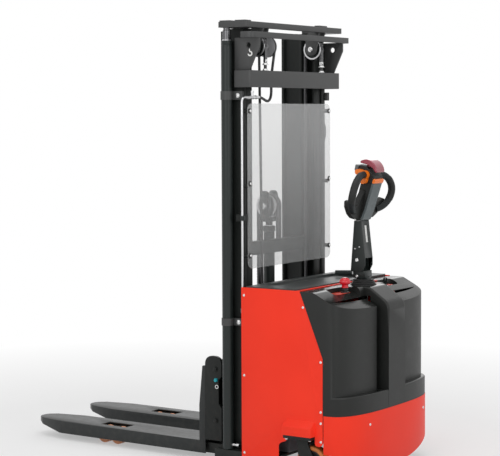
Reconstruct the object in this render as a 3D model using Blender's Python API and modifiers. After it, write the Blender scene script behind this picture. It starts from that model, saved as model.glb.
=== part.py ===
"""Walkie stacker: a pedestrian-operated electric stacker with a three-stage, full-free-lift mast.

Metres, +Z up. The forks point along -Y and the operator stands at +Y. The origin is on the floor,
midway between the fork tips and the rearmost face and midway across. Y values in this file are
measured from the face of the mast guard, and add_object() moves them to the origin.
Left is +X and right is -X, as the operator sees them from behind looking along the forks.
"""
import math

import bmesh
import bpy
from mathutils import Euler, Matrix, Vector

# ---- clearances -----------------------------------------------------------------------------
GAP = 0.0003                 # between faces that touch
FIT = 0.0003                 # around pins, on the radius
WELD = 0.000002              # points closer than this are one

# ---- overall --------------------------------------------------------------------------------
HALF_WIDTH = 0.3987          # outer face of a side panel
SHEET = 0.003                # panel and skirt sheet
DECK_Z = 0.812               # top of the rear cover
BODY_FRONT_Y = -0.005        # front edge of the side panels

# ---- outer mast -----------------------------------------------------------------------------
FLANGE = 0.012               # thickness of every rail flange
OUTER_X = 0.350              # outer face of the outer uprights
OUTER_FLANGE_X = 0.320       # inner edge of their flanges
OUTER_FRONT_Y = -0.115
OUTER_REAR_Y = -0.0293
OUTER_TOP_Z = 1.888
GUARD_X = 0.348
GUARD_Z = (0.890, OUTER_TOP_Z - 0.274)
GUARD_SHEET = 0.005
GUARD_Y = -0.0040            # its front face
SPACER_X = 0.335
SPACER_R = 0.009

# ---- middle mast ----------------------------------------------------------------------------
MIDDLE_X = (0.262, 0.318)    # inner and outer edge of the flanges
MIDDLE_WEB = 0.008
MIDDLE_Y = (-0.145, -0.035)
MIDDLE_BOTTOM_Z = 0.105

# ---- inner mast -----------------------------------------------------------------------------
INNER_X = (0.222, 0.278)
INNER_WEB = 0.008
INNER_Y = (-0.190, -0.080)
INNER_TOP_Z = OUTER_TOP_Z + 0.047

# ---- straps across the mast head ------------------------------------------------------------
MIDDLE_STRAP_X = 0.404
MIDDLE_STRAP_REAR_Y = 0.034
MIDDLE_STRAP_Z = (OUTER_TOP_Z + 0.056, OUTER_TOP_Z + 0.081)
OUTER_STRAP_X = 0.411
OUTER_STRAP_REAR_Y = 0.068
OUTER_STRAP_Z = (OUTER_TOP_Z + 0.010, OUTER_TOP_Z + 0.036)
OUTER_STRAP_WALL = 0.012
OUTER_STRAP_CORNERS = (0.030, 0.006)   # left and right
GUSSET = 0.010
BAND_X = 0.379
BAND_REAR_Y = 0.037
BAND_Z = (OUTER_TOP_Z - 0.204, OUTER_TOP_Z - 0.130)
BAND_WALL = 0.008
BAND_LEDGE = 0.012           # thickness of the band's top where the chains are anchored

# ---- hydraulic pipe on the left upright -----------------------------------------------------
PIPE_X = 0.3885
PIPE_Y = -0.004
PIPE_R = 0.005
PIPE_BEND_R = 0.022
PIPE_Z = (0.700, OUTER_TOP_Z - 0.2685)
PIPE_CLAMP_Z = (1.100, 1.130)

# ---- side lift cylinders --------------------------------------------------------------------
CYLINDER_X = 0.378
CYLINDER_Y = -0.090
CYLINDER_R = 0.0245
ROD_R = 0.0175
ROD_PLAY = 0.002
GLAND = 0.012                # height of the guide at a cylinder's mouth
LIFT_ROD_FOOT_Z = 0.160

# ---- lift chains over the middle mast's pulleys ----------------------------------------------
CHAIN_X = 0.238
CHAIN_WIDTH = 0.019
CHAIN_DEPTH = 0.011
PULLEY_Y = -0.023
PULLEY_Z = OUTER_TOP_Z - 0.022
PULLEY_PITCH_R = 0.0432      # centre line of the chain
PULLEY_AXLE_R = 0.012
PULLEY_HALF = 0.0118
PULLEY_RIM_R = 0.0465
LUG_X = 0.2563               # inner face of the lug that holds the axle
LUG = 0.012
ANCHOR_R = 0.007
ANCHOR_Z = OUTER_TOP_Z - 0.088   # fixed end of the chain

# ---- free-lift cylinder and crosshead -------------------------------------------------------
FREE_LIFT_Y = -0.118
FREE_TUBE_R = 0.025
FREE_ROD_R = 0.016
FREE_TUBE_TOP_Z = 1.050
CROSSHEAD_Z = (1.0755, 1.217)
CROSSHEAD_X = 0.042
CHEEK = 0.012
SHEAVE_Z = 1.147
SHEAVE_PITCH_R = 0.052
SHEAVE_AXLE_R = 0.008
FREE_CHAIN_WIDTH = 0.036
FREE_ROD_FOOT_Z = 0.220
FREE_TUBE_FLOOR_Z = 0.150
INNER_BAR_Z = (0.938, 0.998)
BASE_BAR_Z = (0.120, 0.185)
CARRIAGE_LUG_Z = 0.450       # where the free-lift chain is fixed to the carriage

# ---- forks, carriage, legs ------------------------------------------------------------------
FORK_X = (0.101, 0.281)
FORK_TIP_Y = -1.327
FORK_Z = (0.030, 0.088)
FORK_SHEET = 0.006
SHANK_Y = (-0.318, -0.284)
SHANK_TOP_Z = 0.430
CARRIAGE_TOP_Z = 0.478
EAR_REAR_Y = -0.194
LEG_X = (0.125, 0.257)
LEG_Z = (0.028, 0.076)
LEG_TIP_Y = -0.985
ROLLER_X = 0.196
ROLLER_R = 0.0385
ROLLER_WIDTH = 0.062
ROLLER_Y = (-0.919, -0.840)
ROLLER_PIN_R = 0.008

# ---- chassis --------------------------------------------------------------------------------
BEAM_Y = (-0.150, -0.006)
BEAM_Z = (0.030, 0.090)
FLOOR_Z = (0.077, 0.089)
BULKHEAD_Y = (0.020, 0.026)
BULKHEAD_TOP_Z = 0.790
RAIL = 0.006
DRIVE_PLATE_Z = (0.360, 0.372)
SHELF_Z = (0.184, 0.197)
SHELF_Y = (0.230, 0.366)
SHELF_X = HALF_WIDTH + 0.0333

# ---- drive unit and casters -----------------------------------------------------------------
STEER_Y = 0.380
WHEEL_R = 0.115
WHEEL_WIDTH = 0.075
DRIVE_HUB_R = 0.030
CASTER_X = HALF_WIDTH - 0.0437
CASTER_Y = 0.298
CASTER_TRAIL = 0.040
CASTER_R = 0.075
CASTER_WIDTH = 0.0456
CASTER_PIN_R = 0.006

# ---- body -----------------------------------------------------------------------------------
PANEL_TOP_Z = 0.815
PANEL_REAR_Y = 0.4085
PANEL_SLANT = ((0.294, 0.815), (0.4085, 0.532))
PANEL_BOTTOM_Z = 0.055
HOOD_X = HALF_WIDTH + 0.0363
HOOD_Y = (0.226, 0.369)
SKIRT_Y = 0.412              # front edge of the skirt
SKIRT_BOW = 0.131            # how far its rear bows out
SKIRT_TOP_Z = 0.290
COVER_BOW = 0.100
COVER_POWER = 3.2            # squareness of the body's plan
COVER_WALL = 0.005
COLUMN_X = 0.075
COLUMN_REAR_Y = 0.553
TRAY_Z = 0.820
POCKET_FLOOR_Z = 0.785
POCKET_X = (0.140, 0.285)
POCKET_Y = (0.345, 0.425)
GROOVE = 0.040               # width of the groove on each side of the column
LEDGE_Z = 0.372              # top of the cover's lower ledge
ARCH_Z = 0.040               # lower edge of the skirt at the middle
ARCH_RISE = 0.048            # how much higher it is 0.3 m out
SKIRT_BOTTOM_Z = 0.035

# ---- emergency stop and key -----------------------------------------------------------------
STOP_X = 0.170
STOP_Y = 0.385
STOP_STEM_R = 0.010
STOP_TRAVEL = 0.006
KEY_X = 0.191
KEY_R = 0.007

# ---- tiller ---------------------------------------------------------------------------------
TILT_Y = 0.3665
TILT_Z = 0.922
TILT_PIN_R = 0.005
ARM_X = 0.0345
ARM_SHEET = 0.003
ARM_TOP_Z = 1.096
NECK_Z = 0.820
NECK_R = 0.030
HEAD_LEAN = math.radians(13)
HEAD_Y = 0.372
HEAD_Z = 1.0970
GRIP_R = 0.0155
GRIP_W = 0.207               # height of the grips' upper ends above the head's foot
GRIP_V = -0.005
HOUSING_X = 0.040
BUTTON_TRAVEL = 0.003
BELLY_TRAVEL = 0.006
BELLY_V = -0.016
HOUSING_FRONT_V = -0.046
BUTTON_X = 0.021
BUTTON_W = 0.226
BUTTON_STEM_R = 0.005

LENGTH_SHIFT = Vector((0.0, -(FORK_TIP_Y + COLUMN_REAR_Y) / 2, 0.0))
SIDES = (("left", 1), ("right", -1))


# ---- scene helpers --------------------------------------------------------------------------

def clear_scene():
    """Remove whatever objects the scene holds."""
    for item in list(bpy.data.objects):
        bpy.data.objects.remove(item, do_unlink=True)


clear_scene()
PARTS = bpy.data.collections.new("walkie_stacker")
bpy.context.scene.collection.children.link(PARTS)


def finish(name, colour, roughness, metallic=0.0):
    """A Principled BSDF material."""
    material = bpy.data.materials.new(name)
    material.use_nodes = True
    shader = material.node_tree.nodes["Principled BSDF"]
    shader.inputs["Base Color"].default_value = (*colour, 1.0)
    shader.inputs["Roughness"].default_value = roughness
    shader.inputs["Metallic"].default_value = metallic
    material.diffuse_color = (*colour, 1.0)
    return material


RED = finish("red_paint", (0.87, 0.055, 0.028), 0.35)
MAST_GREY = finish("mast_grey_paint", (0.055, 0.058, 0.058), 0.45)
BLACK_PAINT = finish("black_paint", (0.022, 0.025, 0.022), 0.40)
COVER_BLACK = finish("cover_black", (0.030, 0.033, 0.030), 0.50)
GLOSS_BLACK = finish("gloss_black", (0.012, 0.013, 0.013), 0.12)
FORK_PAINT = finish("fork_paint", (0.030, 0.032, 0.032), 0.40)
STEEL = finish("steel", (0.60, 0.60, 0.62), 0.30, 1.0)
CHROME = finish("chrome", (0.80, 0.80, 0.82), 0.10, 1.0)
CHAIN_STEEL = finish("chain_steel", (0.10, 0.10, 0.10), 0.40, 1.0)
CLEAR = finish("clear_sheet", (0.85, 0.87, 0.88), 0.05)
ROLLER_ORANGE = finish("roller_orange", (0.80, 0.30, 0.12), 0.50)
WHEEL_TREAD = finish("wheel_tread", (0.55, 0.22, 0.06), 0.55)
RUBBER = finish("rubber", (0.020, 0.020, 0.020), 0.80)
HEAD_GREY = finish("head_grey", (0.15, 0.165, 0.165), 0.45)
GRIP_GREY = finish("grip_grey", (0.040, 0.045, 0.047), 0.60)
ORANGE = finish("orange", (1.0, 0.19, 0.01), 0.35)
BELLY_RED = finish("belly_red", (0.35, 0.02, 0.06), 0.20)
STOP_RED = finish("stop_red", (0.75, 0.01, 0.03), 0.30)
BATTERY_GREY = finish("battery_grey", (0.10, 0.10, 0.11), 0.60)


def add_object(name, mesh, material, at=(0.0, 0.0, 0.0), turn=(0.0, 0.0, 0.0)):
    """Put a mesh in the scene, with its Y measured from the guard."""
    item = bpy.data.objects.new(name, mesh)
    item.location = Vector(at) + LENGTH_SHIFT
    item.rotation_euler = Euler(turn)
    mesh.materials.clear()
    mesh.materials.append(material)
    PARTS.objects.link(item)
    bpy.context.view_layer.update()
    return item


def mesh_from(work):
    """Turn a bmesh into a mesh."""
    bmesh.ops.recalc_face_normals(work, faces=work.faces)
    mesh = bpy.data.meshes.new("shape")
    work.to_mesh(mesh)
    work.free()
    return mesh


def baked(item):
    """The mesh that an object's modifiers give, or that its curve fills, welded where ends meet."""
    bpy.context.view_layer.update()
    evaluated = item.evaluated_get(bpy.context.evaluated_depsgraph_get())
    mesh = bpy.data.meshes.new_from_object(evaluated)
    work = bmesh.new()
    work.from_mesh(mesh)
    bmesh.ops.remove_doubles(work, verts=work.verts, dist=WELD)
    work.to_mesh(mesh)
    work.free()
    return mesh


def bake(item):
    """Apply an object's modifiers in place."""
    mesh = baked(item)
    item.modifiers.clear()
    item.data = mesh
    return item


def block(name, x, y, z, material):
    """A box from its ranges along X, Y and Z."""
    centre = Vector((sum(x) / 2, sum(y) / 2, sum(z) / 2))
    size = Vector((x[1] - x[0], y[1] - y[0], z[1] - z[0]))
    work = bmesh.new()
    bmesh.ops.create_cube(work, size=1.0)
    bmesh.ops.scale(work, vec=size, verts=work.verts)
    return add_object(name, mesh_from(work), material, centre)


AXIS_TURN = {
    "X": Matrix.Rotation(math.pi / 2, 4, "Y"),
    "Y": Matrix.Rotation(-math.pi / 2, 4, "X"),
    "Z": Matrix.Identity(4),
}


def cylinder(name, centre, radius, length, axis, material, segments=32):
    """A cylinder about its centre, along X, Y or Z."""
    work = bmesh.new()
    bmesh.ops.create_cone(work, cap_ends=True, segments=segments, radius1=radius, radius2=radius,
                          depth=length, matrix=AXIS_TURN[axis])
    return add_object(name, mesh_from(work), material, centre)


def turned(name, profile, centre, axis, material, steps=40):
    """A profile of (radius, height) points turned about an axis through the centre."""
    work = bmesh.new()
    points = [work.verts.new((radius, 0.0, height)) for radius, height in profile]
    for first, second in zip(points, points[1:]):
        work.edges.new((first, second))
    mesh = bpy.data.meshes.new("profile")
    work.to_mesh(mesh)
    work.free()
    item = add_object(name, mesh, material, centre)
    screw = item.modifiers.new("turn", "SCREW")
    screw.axis = "Z"
    screw.angle = math.tau
    screw.steps = steps
    screw.render_steps = steps
    screw.use_merge_vertices = True
    screw.merge_threshold = 0.00001
    bake(item)
    work = bmesh.new()
    work.from_mesh(item.data)
    bmesh.ops.remove_doubles(work, verts=work.verts, dist=0.00001)
    bmesh.ops.recalc_face_normals(work, faces=work.faces)
    bmesh.ops.transform(work, matrix=AXIS_TURN[axis], verts=work.verts)
    work.to_mesh(item.data)
    work.free()
    return item


PLANE = {
    "XY": Matrix.Identity(4),
    "XZ": Matrix(((1, 0, 0, 0), (0, 0, -1, 0), (0, 1, 0, 0), (0, 0, 0, 1))),
    "YZ": Matrix(((0, 0, 1, 0), (1, 0, 0, 0), (0, 1, 0, 0), (0, 0, 0, 1))),
}
PLANE_DEPTH = {"XY": 2, "XZ": 1, "YZ": 0}


def plate(name, plane, outline, depth, material, at=(0.0, 0.0, 0.0)):
    """A flat outline in a plane, extruded over a range of the remaining axis."""
    curve = bpy.data.curves.new("outline", "CURVE")
    curve.dimensions = "2D"
    curve.fill_mode = "BOTH"
    curve.extrude = (depth[1] - depth[0]) / 2
    spline = curve.splines.new("POLY")
    spline.points.add(len(outline) - 1)
    for point, (u, v) in zip(spline.points, outline):
        point.co = (u, v, 0.0, 1.0)
    spline.use_cyclic_u = True
    sketch = bpy.data.objects.new("outline", curve)
    PARTS.objects.link(sketch)
    mesh = baked(sketch)
    bpy.data.objects.remove(sketch, do_unlink=True)
    mesh.transform(PLANE[plane])
    shift = Vector((0.0, 0.0, 0.0))
    shift[PLANE_DEPTH[plane]] = sum(depth) / 2
    mesh.transform(Matrix.Translation(shift))
    work = bmesh.new()
    work.from_mesh(mesh)
    bmesh.ops.recalc_face_normals(work, faces=work.faces)
    work.to_mesh(mesh)
    work.free()
    return add_object(name, mesh, material, at)


def tube(name, points, radius, material, sides=2):
    """A round bar along a list of points."""
    curve = bpy.data.curves.new("run", "CURVE")
    curve.dimensions = "3D"
    curve.bevel_depth = radius
    curve.bevel_resolution = sides
    curve.use_fill_caps = True
    spline = curve.splines.new("POLY")
    spline.points.add(len(points) - 1)
    for point, place in zip(spline.points, points):
        point.co = (*place, 1.0)
    sketch = bpy.data.objects.new("run", curve)
    PARTS.objects.link(sketch)
    mesh = baked(sketch)
    bpy.data.objects.remove(sketch, do_unlink=True)
    return add_object(name, mesh, material)


def combine(item, others, operation):
    """Join or cut an object with others, which are used up."""
    for other in others:
        step = item.modifiers.new(operation, "BOOLEAN")
        step.operation = operation
        step.solver = "EXACT"
        step.object = other
        bake(item)
        bpy.data.objects.remove(other, do_unlink=True)
    return item


def join(item, *others):
    """Weld other solids to this one."""
    return combine(item, others, "UNION")


def cut(item, *others):
    """Take other solids out of this one."""
    return combine(item, others, "DIFFERENCE")


def keep_common(item, *others):
    """Keep what this solid shares with others."""
    return combine(item, others, "INTERSECT")


def move_origin(item, place):
    """Put an object's origin at a place, leaving its shape where it is."""
    bpy.context.view_layer.update()
    target = Vector(place) + LENGTH_SHIFT
    item.data.transform(Matrix.Translation(target).inverted() @ item.matrix_world)
    item.matrix_world = Matrix.Translation(target)
    return item


def arc(centre, radius, start, end, steps=8):
    """Points on an arc, in degrees."""
    angles = [math.radians(start + (end - start) * step / steps) for step in range(steps + 1)]
    return [(centre[0] + radius * math.cos(a), centre[1] + radius * math.sin(a)) for a in angles]


def rounded(corners, steps=5):
    """An outline of (u, v, corner radius) points with its corners rounded."""
    outline = []
    count = len(corners)
    for index, (u, v, radius) in enumerate(corners):
        here = Vector((u, v))
        if radius <= 0:
            outline.append((u, v))
            continue
        before = Vector(corners[index - 1][:2]) - here
        after = Vector(corners[(index + 1) % count][:2]) - here
        half = before.angle(after) / 2
        reach = radius / math.tan(half)
        middle = here + (before.normalized() + after.normalized()).normalized() * radius / math.sin(half)
        first = here + before.normalized() * reach - middle
        last = here + after.normalized() * reach - middle
        sweep = first.angle_signed(last)
        for step in range(steps + 1):
            turned_arm = first.copy()
            turned_arm.rotate(Matrix.Rotation(-sweep * step / steps, 2))
            outline.append(tuple(middle + turned_arm))
    return outline


def mirrored_range(span, side):
    """A range along X on the left or the right."""
    return (span[0], span[1]) if side > 0 else (-span[1], -span[0])


def bow(half_width, depth, front, steps=24):
    """The body's plan behind a given Y: half of a squared-off ellipse, from left to right."""
    points = []
    for step in range(steps + 1):
        angle = math.pi * step / steps
        reach = abs(math.cos(angle)) ** (2 / COVER_POWER)
        x = half_width * math.copysign(reach, math.cos(angle))
        y = front + depth * math.sin(angle) ** (2 / COVER_POWER)
        points.append((x, y))
    return points


# ---- outer mast -----------------------------------------------------------------------------

def outer_mast():
    """Uprights, head straps, cylinders, guard and pipe, all fixed to the chassis."""
    base = BEAM_Z[1] + GAP
    for side_name, side in SIDES:
        web_x = OUTER_X - FLANGE
        outline = [(OUTER_FLANGE_X, OUTER_FRONT_Y), (OUTER_X, OUTER_FRONT_Y), (OUTER_X, OUTER_REAR_Y),
                   (OUTER_FLANGE_X, OUTER_REAR_Y), (OUTER_FLANGE_X, OUTER_REAR_Y - FLANGE),
                   (web_x, OUTER_REAR_Y - FLANGE), (web_x, OUTER_FRONT_Y + FLANGE),
                   (OUTER_FLANGE_X, OUTER_FRONT_Y + FLANGE)]
        outline = [(side * x, y) for x, y in outline]
        upright = plate(f"outer_upright_{side_name}", "XY", outline, (base, OUTER_TOP_Z), MAST_GREY)
        if side > 0:
            clamp = block("pipe_clamp", (OUTER_X - 0.001, PIPE_X - PIPE_R - FIT),
                          (OUTER_REAR_Y - FLANGE, PIPE_Y + 0.006), PIPE_CLAMP_Z, MAST_GREY)
            join(upright, clamp)
        low, high = GUARD_Z
        root, end = OUTER_REAR_Y - 0.002, GUARD_Y - GAP
        spacers = [cylinder("spacer", (side * SPACER_X, (root + end) / 2, z), SPACER_R, end - root, "Y",
                            MAST_GREY, 20) for z in (low + 0.057, (low + high) / 2, high - 0.033)]
        join(upright, *spacers)
        lift_cylinder(side_name, side, base)
    head_straps()
    guard = rounded([(-GUARD_X, GUARD_Z[0], 0.03), (GUARD_X, GUARD_Z[0], 0.03),
                     (GUARD_X, GUARD_Z[1], 0.03), (-GUARD_X, GUARD_Z[1], 0.03)])
    plate("mast_guard", "XZ", guard, (GUARD_Y, GUARD_Y + GUARD_SHEET), CLEAR)
    low, high = PIPE_Z
    bend = arc((PIPE_X - PIPE_BEND_R, high), PIPE_BEND_R, 0, 90, 4)
    run = [(PIPE_X, PIPE_Y, low)] + [(x, PIPE_Y, z) for x, z in bend]
    run.append((PIPE_X - 0.0635, PIPE_Y + 0.006, high + PIPE_BEND_R))
    tube("hydraulic_pipe", run, PIPE_R, STEEL)


def lift_cylinder(side_name, side, base):
    """One side lift cylinder: a tube closed at its foot, open at its gland."""
    bore = ROD_R + ROD_PLAY
    floor = base + 0.04
    gland = OUTER_TOP_Z - GLAND
    profile = [(0.0, floor), (bore, floor), (bore, gland), (ROD_R + FIT, gland),
               (ROD_R + FIT, OUTER_TOP_Z), (CYLINDER_R, OUTER_TOP_Z), (CYLINDER_R, base), (0.0, base)]
    turned(f"lift_cylinder_{side_name}", profile, (side * CYLINDER_X, CYLINDER_Y, 0.0), "Z", BLACK_PAINT, 20)


def strap_outline(half_width, rear, arm_front, wall, corners):
    """A U-shaped strap seen from above: a bar across the rear with an arm on each side."""
    outer = rounded([(-half_width, arm_front, 0), (half_width, arm_front, 0),
                     (half_width, rear, corners[0]), (-half_width, rear, corners[1])])
    inner = (half_width - wall, rear - wall)
    notch = [(-inner[0], inner[1]), (inner[0], inner[1])]
    # The outline starts at the left arm's foot and comes back along the inside of the U.
    return outer[1:] + [outer[0], (-inner[0], arm_front), *notch, (inner[0], arm_front)]


def head_straps():
    """The strap and gussets over the outer mast, and the band across it."""
    outline = strap_outline(OUTER_STRAP_X, OUTER_STRAP_REAR_Y, 0.005, OUTER_STRAP_WALL,
                            OUTER_STRAP_CORNERS)
    strap = plate("outer_top_strap", "XY", outline, OUTER_STRAP_Z, MAST_GREY)
    for _, side in SIDES:
        low = BAND_Z[1] + GAP
        high = OUTER_STRAP_Z[0] + 0.002
        bend_z = OUTER_STRAP_Z[0] - 0.038
        hole_z = OUTER_STRAP_Z[0] - 0.0315
        gusset = plate("gusset", "YZ", [(-0.060, low), (0.018, low), (0.0665, bend_z), (0.0665, high),
                                        (-0.060, high)],
                       mirrored_range((OUTER_X + GAP, OUTER_X + GAP + GUSSET), side), MAST_GREY)
        hole = cylinder("hole", (side * OUTER_X, 0.012, hole_z), 0.012, 0.06, "X", MAST_GREY, 20)
        cut(gusset, hole)
        join(strap, gusset)
    arms = rounded([(-BAND_X, -0.050, 0), (BAND_X, -0.050, 0), (BAND_X, BAND_REAR_Y, 0.012),
                    (-BAND_X, BAND_REAR_Y, 0.012)])
    band = plate("outer_cross_band", "XY", arms, BAND_Z, MAST_GREY)
    inside = OUTER_X + GAP
    pocket = block("pocket", (-inside, inside), (-0.1, BAND_REAR_Y - BAND_WALL),
                   (BAND_Z[0] - 0.01, BAND_Z[1] - BAND_LEDGE), MAST_GREY)
    opening = block("opening", (-inside, inside), (-0.1, 0.004), (BAND_Z[0] - 0.01, BAND_Z[1] + 0.01),
                    MAST_GREY)
    cut(band, pocket, opening)
    for _, side in SIDES:
        low, high = BAND_Z[1] - 0.002, ANCHOR_Z - GAP
        boss = cylinder("boss", (side * CHAIN_X, PULLEY_Y + PULLEY_PITCH_R, (low + high) / 2), ANCHOR_R,
                        high - low, "Z", MAST_GREY, 16)
        join(band, boss)


# ---- middle mast ----------------------------------------------------------------------------

def i_rail(name, side, x, web, y, z, material):
    """An I-section upright."""
    centre = (x[0] + x[1]) / 2
    low, high = centre - web / 2, centre + web / 2
    front, rear = y
    outline = [(x[0], front), (x[1], front), (x[1], front + FLANGE), (high, front + FLANGE),
               (high, rear - FLANGE), (x[1], rear - FLANGE), (x[1], rear), (x[0], rear),
               (x[0], rear - FLANGE), (low, rear - FLANGE), (low, front + FLANGE), (x[0], front + FLANGE)]
    return plate(name, "XY", [(side * u, v) for u, v in outline], z, material)


def middle_mast():
    """The stage that the side cylinders lift."""
    top = MIDDLE_STRAP_Z[0] - GAP
    for side_name, side in SIDES:
        i_rail(f"middle_upright_{side_name}", side, MIDDLE_X, MIDDLE_WEB, MIDDLE_Y,
               (MIDDLE_BOTTOM_Z, top), MAST_GREY)
        foot = LIFT_ROD_FOOT_Z
        rod = cylinder(f"lift_rod_{side_name}", (side * CYLINDER_X, CYLINDER_Y, (foot + top) / 2),
                       ROD_R, top - foot, "Z", CHROME, 20)
        move_origin(rod, (side * CYLINDER_X, CYLINDER_Y, foot))
        lift_chain(side_name, side)
        chain_pulley(side_name, side)
    middle_strap()
    edge = MIDDLE_X[0] - GAP
    block("middle_crossbar", (-edge, edge), (MIDDLE_Y[1] - FLANGE, MIDDLE_Y[1] - GAP), (0.120, 0.180),
          MAST_GREY)


def middle_strap():
    """The strap over the middle mast, with pads for the rods and lugs for the pulleys."""
    front = -0.115
    rear = MIDDLE_STRAP_REAR_Y
    outer = rounded([(-MIDDLE_STRAP_X, front, 0), (MIDDLE_STRAP_X, front, 0),
                     (MIDDLE_STRAP_X, rear, 0.008), (-MIDDLE_STRAP_X, rear, 0.008)])
    strap = plate("middle_top_strap", "XY", outer, MIDDLE_STRAP_Z, MAST_GREY)
    inside = INNER_X[1] + 0.0055
    opening = block("opening", (-inside, inside), (front - 0.1, 0.004),
                    (MIDDLE_STRAP_Z[0] - 0.1, MIDDLE_STRAP_Z[1] + 0.1), MAST_GREY)
    cut(strap, opening)
    for _, side in SIDES:
        lug_x = mirrored_range((LUG_X, LUG_X + LUG), side)
        low, high = PULLEY_Z - 0.030, MIDDLE_STRAP_Z[0] + 0.001
        lug_front = MIDDLE_Y[1] + 0.0013
        shape = rounded([(lug_front, low, 0.014), (0.004, low, 0.014), (0.022, high, 0),
                         (lug_front, high, 0)])
        lug = plate("lug", "YZ", shape, lug_x, MAST_GREY)
        web = block("web", lug_x, (0.002, 0.024), (MIDDLE_STRAP_Z[0] - 0.010, MIDDLE_STRAP_Z[0] + 0.012),
                    MAST_GREY)
        axle_end = CHAIN_X - 0.016
        axle_root = LUG_X + 0.004
        axle = cylinder("axle", (side * (axle_end + axle_root) / 2, PULLEY_Y, PULLEY_Z), PULLEY_AXLE_R,
                        axle_root - axle_end, "X", MAST_GREY, 24)
        places = [((0.352, 0.400), (-0.112, -0.060)), ((0.352, 0.400), (-0.032, 0.022))]
        if side < 0:
            places[1] = ((0.200, 0.270), (0.006, 0.032))
        pads = [block("pad", mirrored_range(across, side), along,
                      (MIDDLE_STRAP_Z[1] - 0.001, MIDDLE_STRAP_Z[1] + 0.006), MAST_GREY)
                for across, along in places]
        join(lug, web, axle)
        join(strap, lug, *pads)


def lift_chain(side_name, side):
    """One lift chain: from the anchor on the band, over the pulley, to the inner mast."""
    inner = PULLEY_PITCH_R - CHAIN_DEPTH / 2
    outer = PULLEY_PITCH_R + CHAIN_DEPTH / 2
    end = BASE_BAR_Z[1] + GAP
    centre = (PULLEY_Y, PULLEY_Z)
    outline = [(PULLEY_Y + outer, ANCHOR_Z)] + arc(centre, outer, 0, 180, 16)
    outline += [(PULLEY_Y - outer, end), (PULLEY_Y - inner, end)]
    outline += arc(centre, inner, 180, 0, 16) + [(PULLEY_Y + inner, ANCHOR_Z)]
    half = CHAIN_WIDTH / 2
    plate(f"lift_chain_{side_name}", "YZ", outline,
          (side * CHAIN_X - half, side * CHAIN_X + half), CHAIN_STEEL)


def grooved_wheel(name, centre, half, root, rim, groove, hub, hub_half, bore, material):
    """A chain pulley about X: a groove between two rims, with a hub that stands proud."""
    profile = [(bore, -hub_half), (bore, hub_half), (hub, hub_half), (hub, half), (rim, half),
               (rim, groove), (root, groove), (root, -groove), (rim, -groove), (rim, -half),
               (hub, -half), (hub, -hub_half), (bore, -hub_half)]
    return turned(name, profile, centre, "X", material, 24)


def chain_pulley(side_name, side):
    """A pulley on the middle mast."""
    grooved_wheel(f"chain_pulley_{side_name}", (side * CHAIN_X, PULLEY_Y, PULLEY_Z), PULLEY_HALF,
                  PULLEY_PITCH_R - CHAIN_DEPTH / 2 - FIT, PULLEY_RIM_R, CHAIN_WIDTH / 2 + 0.0004, 0.018,
                  LUG_X - GAP - CHAIN_X, PULLEY_AXLE_R + FIT, STEEL)


# ---- inner mast -----------------------------------------------------------------------------

def inner_mast():
    """The stage that carries the free-lift cylinder."""
    for side_name, side in SIDES:
        i_rail(f"inner_upright_{side_name}", side, INNER_X, INNER_WEB, INNER_Y,
               (MIDDLE_BOTTOM_Z, INNER_TOP_Z), MAST_GREY)
    edge = INNER_X[0] - GAP
    bar_front = FREE_LIFT_Y + FREE_TUBE_R + GAP
    block("inner_crossbar", (-edge, edge), (bar_front, -0.060), INNER_BAR_Z, MAST_GREY)
    bar = block("inner_base_bar", (-0.250, 0.250), (INNER_Y[1] + GAP, -0.058), BASE_BAR_Z, MAST_GREY)
    foot = block("foot", (-0.040, 0.040), (FREE_LIFT_Y - 0.032, INNER_Y[1] + 0.002),
                 (BASE_BAR_Z[0], FREE_TUBE_FLOOR_Z), MAST_GREY)
    join(bar, foot)
    bottom = FREE_TUBE_FLOOR_Z + GAP
    bore = FREE_ROD_R + ROD_PLAY
    mouth = FREE_TUBE_TOP_Z + 0.005
    gland = FREE_TUBE_TOP_Z - 0.020
    profile = [(0.0, bottom + 0.03), (bore, bottom + 0.03), (bore, gland), (FREE_ROD_R + FIT, gland),
               (FREE_ROD_R + FIT, mouth), (FREE_TUBE_R + 0.004, mouth), (FREE_TUBE_R + 0.004, gland),
               (FREE_TUBE_R, gland), (FREE_TUBE_R, bottom), (0.0, bottom)]
    turned("free_lift_cylinder", profile, (0.0, FREE_LIFT_Y, 0.0), "Z", BLACK_PAINT, 20)


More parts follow.
